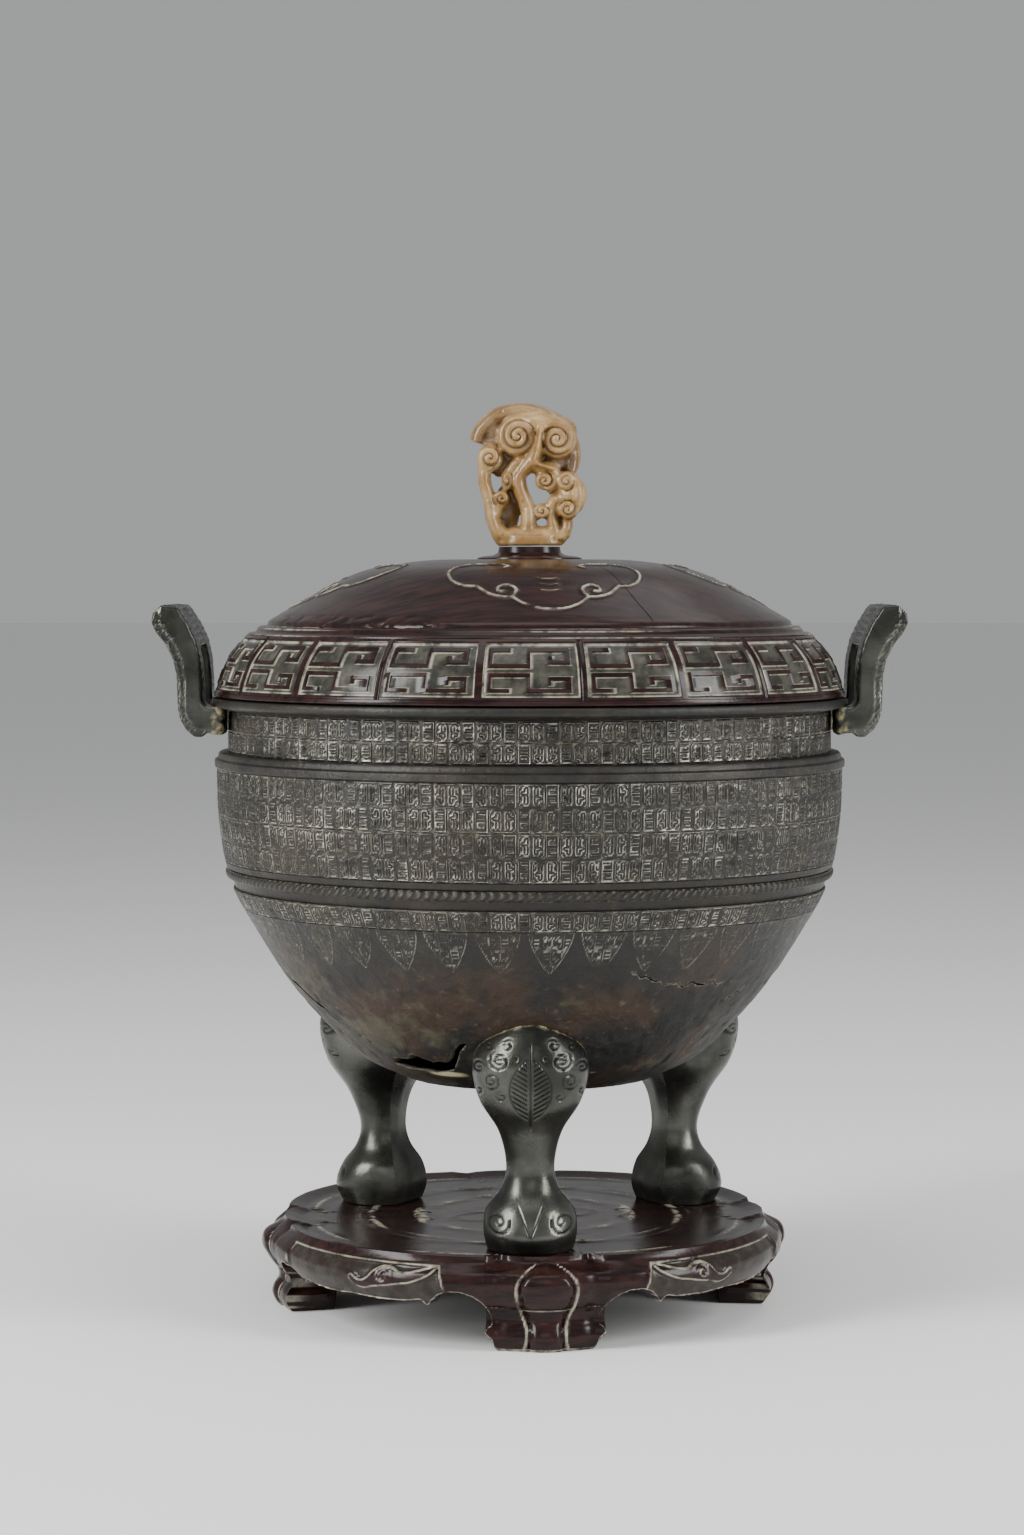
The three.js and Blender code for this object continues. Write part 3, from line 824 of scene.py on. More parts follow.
@dataclass
class Bowl:
    """The cast body: base, wall, mouldings and bands of pattern."""

    stations: Path = (
        (50, 91.8), (68.4, 101.2), (84, 116.4), (97, 131.6),
        (109.2, 150.8), (119.4, 170), (124, 194), (124.8, 215.9),
    )
    base_z: float = 91.5
    wall: float = 4.0
    rope_z: float = 173.7
    rope_half: float = 2.0
    rope_proud: float = 2.5
    rope_twists: int = 216
    row_z: float = 160.0
    row_height: float = 8.0
    blade_z: float = 143.4
    blades: int = 36
    blade_turn: float = 3.8
    blade_pitch: float = 18.6
    blade_half: float = 8.3
    rows_z: float = 178.8
    unit_height: float = 9.3
    pattern_proud: float = 0.62
    pattern_columns: int = 1120
    pattern_mesh: float = 0.5
    ridge_z: float = 216.0
    ridge_top: float = 222.0
    neck_radius: float = 120.4
    neck_top: float = 238.6
    rim_radius: float = 126.8
    mouth_z: float = 243.6
    mouth_radius: float = 117.0
    belt_back: float = 1.2
    hole: Path = (
        (-50, 102.4), (-46, 101), (-43, 100.6), (-38, 100.6), (-33, 100), (-28, 101.2),
        (-24.5, 102.4), (-22, 106.5), (-20, 110.5), (-17, 114.5), (-19.5, 113.6),
        (-22.5, 110.2), (-24, 107.4), (-26, 105.2), (-29, 105.4), (-31, 104.6), (-35, 106.6),
        (-38, 107.6), (-40.5, 105), (-44, 105.2), (-47.5, 104.4),
    )
    hole_depth: float = 14
    # Start, end, width, jag and depth of each crack.
    cracks: tuple[tuple[tuple[float, float], tuple[float, float], float, float, float], ...] = (
        ((21, 143.4), (31, 137.6), 0.6, 0.7, 1.5),
        ((31, 137.6), (47.5, 136.4), 0.7, 1.2, 1.8),
        ((58, 133), (51.5, 127.5), 0.9, 0.6, 1.8),
        ((-56, 114.5), (-52, 110.5), 1.3, 0.5, 3.0),
    )
    slip: tuple[tuple[float, float], tuple[float, float], float, float] = (
        (-74.5, 139.4), (-57.0, 117.4), 2.0, 0.9)
    slip_azimuth: float = -67
    slip_way: Triple = (-0.058, 1.0, -0.12)
    profile: Array = field(init=False, default=None)

    def __post_init__(self) -> None:
        """Draws the smooth outline once."""
        self.profile = smooth_path(self.stations, 400)

    def radius(self, height: Array) -> Array:
        """The body's radius at a height."""
        return np.interp(height, self.profile[:, 1], self.profile[:, 0])

    def neck(self, height: Array) -> Array:
        """The radius of the ground behind the neck's pattern."""
        return np.full_like(height, self.neck_radius - 0.1)

    def belt(self, name: str, low: float, high: float, columns: int, rows: int,
             relief: Relief, proud: float, ground: Callable[[Array], Array]) -> Piece:
        """A closed ring whose outer face carries relief.

        Args:
            name: the piece's name.
            low: the height of its lower edge.
            high: the height of its upper edge.
            columns: faces round it.
            rows: faces up its outer face.
            relief: gives 0 to 1 for azimuths and heights.
            proud: how far relief 1 stands above relief 0.
            ground: gives the radius of the ground for heights.

        Returns:
            The ring.
        """
        spans = rows + 3
        sunk = 0.45 * proud

        def place(u: Array, v: Array) -> Placed:
            """Goes up the outer face and back down behind it.

            Args:
                u: shares of the way round.
                v: shares of the way round the ring's section.

            Returns:
                Points, relief and stain.
            """
            level = row_of(v, spans) % spans
            front = level <= rows
            rise = low + (high - low) * np.clip(level / rows, 0, 1)
            height = np.where(front, rise, np.where(level == rows + 1, high, low))
            azimuth = facing_front(u)
            raised = np.where(front, relief(azimuth, height), 0)
            out = ground(height) + np.where(front, raised * proud - sunk, -self.belt_back)
            return polar(out, azimuth, height), raised, raised * 0

        return sheet_piece(name, columns, spans, place)

    def wear_and_sheen(self, azimuth: Array, height: Array) -> Array:
        """How crisp the pattern is: best in front, rubbed at the sides. It also sets how much painted
        highlight the raised lines get.

        Args:
            azimuth: degrees from the front.
            height: heights above the ground.

        Returns:
            Values from 0.3 to 1.
        """
        front = 0.74 + 0.26 * crest(wrap(azimuth + 8, 360), 75)
        drift = np.sin(np.radians(azimuth * 7 + 40)) * np.sin(height * 0.21 + np.radians(azimuth * 3))
        return np.clip(front * (0.9 + 0.16 * drift), 0.3, 1)

    def pattern_belt(self, name: str, low: float, rows: int, units: int, row_height: float,
                     ground: Callable[[Array], Array]) -> Piece:
        """A belt of one or more rows of interlaced units.

        Args:
            name: the piece's name.
            low: the height of its lower edge.
            rows: how many rows of units it has.
            units: how many units run round it.
            row_height: the height of one row.
            ground: gives the radius of the ground for heights.

        Returns:
            The belt.
        """
        sample = ScrollPattern(height=row_height).field(units)
        tall = rows * row_height
        top = low + tall

        def relief(azimuth: Array, z: Array) -> Array:
            """The worn pattern, which fades at the belt's edges."""
            edge = step(0, 0.35, np.minimum(z - low, top - z))
            return sample(azimuth, np.clip(z - low, 0, tall - 0.01)) * self.wear_and_sheen(azimuth, z) * edge

        return self.belt(name, low, top, self.pattern_columns, int(tall / self.pattern_mesh),
                         relief, self.pattern_proud, ground)

    def under_rope(self, height: Array) -> Array:
        """Radius of the ground that the rope lies on."""
        return self.radius(height) + 0.7

    def rope(self) -> Piece:
        """The twisted cord that runs round the body.

        Returns:
            The rope.
        """
        def relief(azimuth: Array, z: Array) -> Array:
            """A round roll with slanting strands.

            Args:
                azimuth: degrees from the front.
                z: heights above the ground.

            Returns:
                Height, 0 to 1.
            """
            rise = (z - self.rope_z) / self.rope_half
            roll = np.sqrt(np.clip(1 - rise**2, 0, 1))
            return roll * (0.34 + 0.24 * wave(azimuth / 360 * self.rope_twists - rise * 0.45))

        ends = self.rope_z - self.rope_half, self.rope_z + self.rope_half
        return self.belt("bowl_rope", *ends, 1296, 7, relief, self.rope_proud, self.under_rope)

    def pendant_blades(self) -> Piece:
        """Pointed blades that hang below the lowest row, filled with the same fine scrolls.

        Returns:
            The ring of blades.
        """
        drop = self.row_z - self.blade_z
        period = 360 / self.blades
        sample = ScrollPattern(width=4.2, height=6.0).field(180)

        def relief(azimuth: Array, z: Array) -> Array:
            """A raised outline with scrolls inside, level ground outside.

            Args:
                azimuth: degrees from the front.
                z: heights above the ground.

            Returns:
                Relief from 0 to 1.
            """
            fall = (self.row_z - z) / drop
            across = np.abs(wrap(azimuth - self.blade_turn, period)) / period * self.blade_pitch
            inset = self.blade_half * np.clip(1 - fall**1.6, 0, 1) ** 0.85 - across
            line = crest(inset - 0.45, 0.42) * 0.75
            scrolls = 0.2 + 0.6 * sample(azimuth, np.clip(z - self.blade_z + 2, 0, 40))
            fill = scrolls * step(0.8, 1.2, inset) * self.wear_and_sheen(azimuth, z)
            return np.where(inset > 0, np.maximum(line, fill), 0.38)

        def ground(z: Array) -> Array:
            """The body's radius, sunk into it below the tips."""
            return self.radius(z) - 0.75 * step(0.4, -0.9, z - self.blade_z)

        return self.belt("bowl_blades", self.blade_z - 1.4, self.row_z, 940, 26,
                         relief, 0.5, ground)

    def base(self) -> Piece:
        """The rough lower body with its wall and inner face, and what has broken out of it.

        Returns:
            The base.
        """
        top = self.blade_z + 3
        floor_z = self.base_z + self.wall
        outer = self.profile[self.profile[:, 1] <= top]
        outer = np.concatenate([[[r, self.base_z] for r in (0.0, 25.0, 42.0)], outer])
        inner_z = np.array([top, 132, 116, 104, 98.0])
        inner = np.stack([self.radius(inner_z) - self.wall * 1.2, inner_z], axis=1)
        inner = np.concatenate([inner, [[46, floor_z], [0, floor_z]]])
        outer_rows = 72
        lengths = lengths_of(outer)
        even = np.linspace(0, lengths[-1], outer_rows + 1)
        outer = np.stack([np.interp(even, lengths, outer[:, k]) for k in range(2)], axis=1)
        loop = np.concatenate([outer, inner])
        spans = len(loop) - 1

        def place(u: Array, v: Array) -> Placed:
            """Goes up the outside from the axis and back down the inside.

            Args:
                u: shares of the way round.
                v: shares of the way along the section.

            Returns:
                Points, relief and stain.
            """
            level = row_of(v, spans)
            radius, height = loop[level].T
            azimuth = facing_front(u)
            points = polar(radius, azimuth, height)
            front = (level <= outer_rows) & (level > 1)
            rough = grain(points, 6.0, 5, 3.1) * 0.42 + grain(points, 30.0, 3, 8.4) * 0.5
            pits = np.clip(grain(points, 4.0, 3, 21.0) - 0.42, 0, 1) * -2.0
            push = np.where(front, (rough + pits) * step(146.0, 136.0, height), 0)
            outward = points * np.array([1, 1, 0])
            outward /= np.maximum(np.linalg.norm(outward, axis=1, keepdims=True), 1e-6)
            thin = ~front & (height > 110) & (height < 140)
            near_slip = step(20, 13, np.abs(azimuth - self.slip_azimuth))
            push = np.where(thin, 3.6 * near_slip, push)
            points = points + outward * np.where(radius < 44, 0, push)[:, None]
            scar = bump(-29, 14, azimuth) * bump(99.6, 2.6, height)
            streak = bump(20.5, 5, azimuth) * bump(101.0, 1.2, height) * 0.5
            raised = np.clip(0.40 + rough * 0.1, 0.36, 0.45)
            return points, np.where(front, raised, 0.4), np.maximum(scar, streak)

        piece = sheet_piece("bowl_base", 380, spans, place)
        cut(piece, self.wall_cutter(np.array(self.hole), self.hole_depth))
        for *line, depth in self.cracks:
            cut(piece, self.wall_cutter(self.split(*line), depth))
        cut(piece, self.slip_cutter(self.split(*self.slip)))
        return piece

    def split(self, start: tuple[float, float], end: tuple[float, float],
              width: float, jag: float) -> Array:
        """A thin zigzag outline between two places on the wall.

        Args:
            start: azimuth and height of one end.
            end: azimuth and height of the other.
            width: its width in the middle.
            jag: how far it strays from the straight line.

        Returns:
            Its corners, in azimuth and height.
        """
        count = 9
        along = np.linspace(0, 1, count)
        centre = np.outer(1 - along, start) + np.outer(along, end)
        centre[1:-1, 1] += jag * np.sin(np.arange(1, count - 1) * 2.4)
        half = width / 2 * np.clip(np.sin(along * math.pi), 0.12, 1)
        rise = np.stack([half * 0, half], axis=1)
        return np.concatenate([centre - rise, (centre + rise)[::-1]])

    def wall_cutter(self, outline: Array, depth: float) -> Piece:
        """A block across the wall's face.

        Args:
            outline: its corners, in azimuth and height.
            depth: how far it reaches in.

        Returns:
            The block.
        """
        def place(corner: Array, outside: bool) -> Array:
            """Sets the corners before the wall or behind its face."""
            radius = self.radius(corner[:, 1]) + (5 if outside else -depth)
            return polar(radius, corner[:, 0], corner[:, 1])

        return slab("wall_cutter", outline, place)

    def slip_cutter(self, outline: Array) -> Piece:
        """A block that runs back and down through the wall, where two plates slid apart.

        Args:
            outline: its corners, in azimuth and height.

        Returns:
            The block.
        """
        def place(corner: Array, outside: bool) -> Array:
            """Sets the corners before the wall or inside the bowl."""
            start = polar(self.radius(corner[:, 1]) + 0.8, corner[:, 0], corner[:, 1])
            return start + np.array(self.slip_way) * (-3.0 if outside else 21.0)

        return slab("slip_cutter", outline, place)

    def wall_section(self) -> Array:
        """The section of the upper wall, its ridge, neck and rim.

        Returns:
            Radii and heights, up the outside and down the inside.
        """
        ridge = self.radius(self.ridge_z) + 0.9
        ridge_steps = ((-0.7, 215.8), (0, 216.4), (0.1, 218.0), (0, 219.0), (-0.7, 219.5),
                       (-1.3, 219.7), (-1.4, 221.2), (-2.0, 221.9))
        neck_steps = ((-0.6, 222.3), (-0.7, 230), (-0.4, self.neck_top + 0.1))
        rim_steps = ((-4.2, 239.2), (-1.4, 239.9), (-0.4, 240.5), (0, 241.3), (0, 242.6),
                     (-0.5, 243.3), (-1.4, self.mouth_z))
        outer = [(self.radius(z) - 0.9, z) for z in (144, 150, 158, 166, 176.2)]
        outer += [(self.radius(z), z) for z in (176.4, 178.6)]
        outer += [(self.radius(z) - 0.9, z) for z in (179, 190, 202, 215.6)]
        outer += [(ridge + out, z) for out, z in ridge_steps]
        outer += [(self.neck_radius + out, z) for out, z in neck_steps]
        outer += [(self.rim_radius + out, z) for out, z in rim_steps]
        inner = [(self.mouth_radius + 0.6, self.mouth_z), (self.mouth_radius, 243.0),
                 (self.mouth_radius, 228)]
        inner += [(self.radius(z) - self.wall, z) for z in (212, 196, 180, 164, 152, 144)]
        return np.array(outer + inner)

    def wall_ring(self) -> Piece:
        """The upper wall behind the belts, with the ridge, neck and rim.

        Returns:
            The wall.
        """
        loop = self.wall_section()
        spans = len(loop)

        def place(u: Array, v: Array) -> Placed:
            """Turns the section round the axis, slightly uneven.

            Args:
                u: shares of the way round.
                v: shares of the way round the section.

            Returns:
                Points, relief and stain.
            """
            radius, height = loop[row_of(v, spans) % spans].T
            points = polar(radius, facing_front(u), height)
            lumps = grain(points, 14.0, 4, 5.0) * 0.14
            points[:, :2] *= (1 + lumps / 122)[:, None]
            raised = np.where((height > 215.9) & (height < 221.5), 0.50, 0.42)
            return points, raised, raised * 0

        return sheet_piece("bowl_wall", 340, spans, place)

    def build(self, bronze: Material) -> None:
        """Builds and dresses every piece of the bowl.

        Args:
            bronze: its finish.
        """
        unit, high = self.unit_height, self.rows_z + 2 * self.unit_height
        pieces = [
            self.base(),
            self.wall_ring(),
            self.pattern_belt("bowl_belly_low", self.rows_z, 2, 150, unit, self.radius),
            self.pattern_belt("bowl_belly_high", high, 2, 150, unit, self.radius),
            self.pattern_belt("bowl_neck", self.ridge_top + 0.4, 2, 147, self.row_height,
                              self.neck),
            self.pattern_belt("bowl_low_row", self.row_z, 1, 144, self.row_height, self.radius),
            self.rope(),
            self.pendant_blades(),
        ]
        for piece in pieces:
            hand_over(piece, bronze, "bowl")


# ---- legs -----------------------------------------------------------------------------


@dataclass
class Leg:
    """A cabriole leg, built along +X and turned to its azimuth.

    Stations hold outermost radius, half width, innermost radius and height. Curls hold a
    spiral's place from the leg's middle line, its height and its size.
    """

    name: str
    azimuth: float
    bowl: Bowl
    columns: int
    rows: int
    stations: tuple[tuple[float, float, float, float], ...] = (
        (86.2, 16.6, 57, 34.6), (89.2, 17.9, 55, 41.5), (86, 16.9, 57, 50), (80.2, 11, 60.5, 58),
        (79, 9.3, 62, 67), (84, 12.2, 60, 80), (92.3, 19.4, 54, 92), (96.3, 22.3, 51, 105),
        (94.5, 18.8, 60, 115), (89.3, 8.2, 71, 123),
    )
    curls: tuple[Triple, ...] = (
        (12.0, 109.4, 4.2), (15.0, 101.4, 3.8), (19.6, 106.4, 2.9), (8.4, 115.4, 2.6),
        (11.0, 95.4, 2.4), (19.6, 97.2, 2.4), (6.0, 110.6, 1.6), (16.0, 114.6, 2.0),
    )
    toe_curl: tuple[float, float] = (12.5, 46.5)
    groove_depth: float = 0.45
    row_marks: Path = (
        (34.6, 0.0), (38.0, 0.04), (56.0, 0.28), (84.0, 0.42), (118.5, 0.98), (123.0, 1.0),
    )
    side_marks: Path = (
        (-90, 0.0), (-26, 0.20), (-12, 0.30), (12, 0.70), (26, 0.80), (90, 1.0),
    )
    front_share: float = 0.84
    back_marks: tuple[float, ...] = (0, 0.085, 0.17, 0.25, 0.5, 0.75, 0.83, 0.915, 1)
    back_reach: tuple[float, ...] = (0, 0.33, 0.66, 0.96, 1, 0.96, 0.66, 0.33, 0)
    back_side: tuple[float, ...] = (1, 0.97, 0.86, 0.66, 0, -0.66, -0.86, -0.97, -1)

    def knee_mask(self, across: Array, height: Array) -> Array:
        """The knee's spine, ribbed leaf and spirals.

        Args:
            across: distances from the leg's middle line.
            height: heights above the ground.

        Returns:
            How deep the lines are, 0 to 1.
        """
        spine = crest(across, 0.55) * step(80, 84, height) * step(119, 112, height)
        leaf = 8.0 * np.sin(np.clip((height - 85) / 26, 0, 1) * math.pi) ** 0.7
        ribs = wave((height - across * 0.6) / 1.95) ** 4 * step(0, 0.8, leaf - across)
        ribs *= step(0.9, 1.5, across) * step(84, 88, height)
        edge = crest(across - leaf, 0.5) * step(86, 92, height) * step(118, 114, height)
        lines = [spine * 0.8, ribs, edge * 0.8]
        for x, z, size in self.curls:
            reach = np.hypot(across - x, height - z)
            curl = wave(reach / 1.9 - turn_of(across - x, height - z))
            lines.append(curl**3 * step(size, size - 0.6, reach))
        return np.maximum.reduce(lines)

    def carving(self, side: Array, height: Array) -> Array:
        """The engraved lines on the outer face: the knee's mask and the toes.

        Args:
            side: places from one side of the leg to the other.
            height: heights above the ground.

        Returns:
            How deep the lines are, 0 to 1.
        """
        across = np.abs(side)
        x, z = self.toe_curl
        reach = np.hypot(across - x, height - z)
        curl = wave(reach / 3.2 + turn_of(across - x, height - z)) ** 6 * step(5.4, 4.6, reach)
        claw = crest(across - (height - 41) * 0.42, 0.45)
        claw *= step(41, 42, height) * step(54, 51, height)
        return np.clip(np.maximum.reduce([self.knee_mask(across, height), curl, claw]), 0, 1)

    def section(self, share: Array) -> list[Array]:
        """The leg's measures at shares of the way up its rows.

        Args:
            share: shares from 0 to 1.

        Returns:
            Outermost radius, half width, innermost radius and height.
        """
        spine = smooth_path(self.stations, 300)
        heights, shares = np.array(self.row_marks).T
        number = np.arange(len(spine))
        inside = np.interp(np.interp(share, shares, heights), spine[:, 3], number)
        return [np.interp(inside, number, spine[:, k]) for k in range(4)]

    def place(self, u: Array, v: Array) -> Placed:
        """Puts a grid round and up the leg; both ends close on a line.

        Args:
            u: shares of the way round, first the outer face and then the back.
            v: shares of the way up.

        Returns:
            Points, relief and stain.
        """
        level = v * self.rows
        closing = (level < 0.5) | (level > self.rows - 0.5)
        outer, half, inner, height = self.section(np.clip((level - 1) / (self.rows - 2), 0, 1))
        middle = outer - half * 0.95
        outside = u <= self.front_share
        degrees, shares = np.array(self.side_marks).T
        angle = np.radians(np.interp(u / self.front_share, shares, degrees))
        back = np.clip((u - self.front_share) / (1 - self.front_share), 0, 1)
        back_x = middle + (inner - middle) * np.interp(back, self.back_marks, self.back_reach)
        back_y = half * np.interp(back, self.back_marks, self.back_side)
        x = np.where(outside, middle + (outer - middle) * np.cos(angle), back_x)
        y = np.where(outside, half * np.sin(angle), back_y)
        x = np.where(closing, (outer + inner) / 2, x)
        y = np.where(closing, 0, y)
        engraved = outside & ~closing & (np.abs(y) < half * 0.985)
        carved = np.where(engraved, self.carving(y, height), 0)
        depth = np.where(outside, self.groove_depth * carved, 0)
        x = x - np.cos(angle) * depth
        y = y - np.sin(angle) * depth
        reach = np.hypot(x, y)
        wall = np.where(height > self.bowl.base_z, self.bowl.radius(height), 0) - 0.8
        push = np.maximum(wall - reach, 0)
        x = x + push * x / np.maximum(reach, 1e-6)
        y = y + push * y / np.maximum(reach, 1e-6)
        joint = step(3.0, 0.4, np.hypot(x, y) - wall) * step(94, 100, height)
        points = np.stack([x, y, height], axis=1)
        lumps = grain(points, 22.0, 3, 2.0 + self.azimuth) * 0.35
        x = x + np.where(closing, 0, lumps)
        # Relief drops in the carved lines, where the finish paints shade.
        relief = np.where(carved > 0.02, 0.5 - carved * 0.5, 0.5)
        sole = bump(36, 4, height) * 0.3
        cos, sin = (f(math.radians(self.azimuth - 90)) for f in (math.cos, math.sin))
        turned = np.stack([x * cos - y * sin, x * sin + y * cos, height], axis=1)
        return turned, relief, np.maximum(joint, sole)

    def build(self, bronze: Material) -> None:
        """Builds and dresses the leg.

        Args:
            bronze: its finish.
        """
        piece = sheet_piece(self.name + "_cast", self.columns, self.rows, self.place)
        close_and_smooth(piece, 33)
        hand_over(piece, bronze, self.name)


# ---- handles --------------------------------------------------------------------------


@dataclass
class Handle:
    """A loop handle: a flat band that leaves the neck, rises and flares."""

    name: str
    side: int
    breadth: float = 59.0
    opening: float = 29.0
    opening_low: float = 215.0
    opening_top: float = 264.0
    outline: Path = (
        (120.2, 229.4), (127.4, 230.2), (128.6, 228.2), (131.8, 228.6), (135.0, 231.4),
        (137.2, 235.2), (138.2, 239.6), (138.3, 246.0), (138.6, 252.6), (140.0, 259.4),
        (143.0, 265.2), (146.6, 269.6), (148.3, 273.4), (147.8, 277.2), (144.2, 280.4),
        (138.6, 280.0), (134.0, 272.9), (130.8, 266.0), (129.2, 258.4), (128.6, 250.0),
        (128.4, 242.6), (126.8, 240.6), (120.2, 239.8),
    )
    voxel: float = 0.74
    scroll: float = 2.9
    scroll_pitch: float = 1.25

    def place(self, corner: Array, outside: bool) -> Array:
        """Sets the outline's corners on one side face of the band.

        Args:
            corner: radii and heights.
            outside: which of the two side faces.

        Returns:
            Points in millimetres.
        """
        width = self.breadth / 2 * (1.0 + 0.02 * step(240, 280, corner[:, 1]))
        y = width * (1 if outside else -1)
        return np.stack([corner[:, 0] * self.side, y, corner[:, 1]], axis=1)

    def build(self, bronze: Material) -> None:
        """Builds and dresses the handle.

        Args:
            bronze: its finish.
        """
        piece = slab(self.name + "_cast", np.array(self.outline), self.place)
        deselect()
        bpy.ops.mesh.primitive_cube_add(size=1.0)
        opening = bpy.context.object
        fit(opening, (60, self.opening, self.opening_top - self.opening_low),
            (138.0 * self.side, 0, (self.opening_top + self.opening_low) / 2))
        cut(piece, opening)
        apply_modifier(piece, "BEVEL", width=1.0 * MM, segments=2, limit_method="ANGLE",
                       angle_limit=math.radians(50))
        apply_modifier(piece, "REMESH", mode="VOXEL", voxel_size=self.voxel * MM)
        apply_modifier(piece, "SMOOTH", factor=0.5, iterations=3)
        self.engrave(piece)
        hand_over(piece, bronze, self.name)

    def engrave(self, piece: Piece) -> None:
        """Sinks a strip of fine scrolls along the outer edge and fills the top and inner faces.

        Args:
            piece: the remeshed handle.
        """
        points, facing = coordinates(piece), normals(piece)
        radius, y, z = np.abs(points[:, 0]), points[:, 1], points[:, 2]
        outward = facing[:, 0] * self.side
        sideways = step(0.5, 0.8, np.abs(facing[:, 1]))
        reach = away_from(radius, z, smooth_path(self.outline[2:14], 90))
        strip = np.maximum(sideways * step(3.1, 2.6, reach), step(0.5, 0.8, outward))
        crown = step(262, 267, z) * (1 - sideways * step(4.4, 5.2, reach))
        inner = step(-0.5, -0.75, outward) * step(244, 248, z)
        mask = np.maximum.reduce([strip, crown * 0.9, inner * 0.7])
        along = wrap(z * 0.9 + radius * 0.5 + y * sideways, self.scroll)
        over = wrap(np.where(sideways > 0.5, radius - z * 0.4, y), self.scroll)
        ripple = wave(np.hypot(over, along) / self.scroll_pitch - turn_of(over, along))
        root = step(127.5, 121.5, radius) * (0.6 + grain(points, 3.0, 4, 4.0))
        root = np.clip(root, 0, 1)
        push = 0.3 * mask * (ripple - 0.5) - 0.45 * sideways * step(3.1, 2.7, reach)
        push = push + grain(points, 16.0, 3, 11.0) * 0.12 + root * 0.5
        # A pale painted highlight line along the outer edge of the sunk strip.
        edge = bump(3.3, 0.6, reach) * sideways
        move_vertices(piece, points + facing * push[:, None])
        # In the finish, low ripples get painted shade and high ripples painted highlight.
        relief = np.where(mask > 0.3, 0.25 + 0.55 * ripple, 0.5)
        store(piece, "relief", np.maximum(relief, edge * 0.82))
        store(piece, "stain_and_shade", root)
        close_and_smooth(piece, 60)


# ---- lid ------------------------------------------------------------------------------


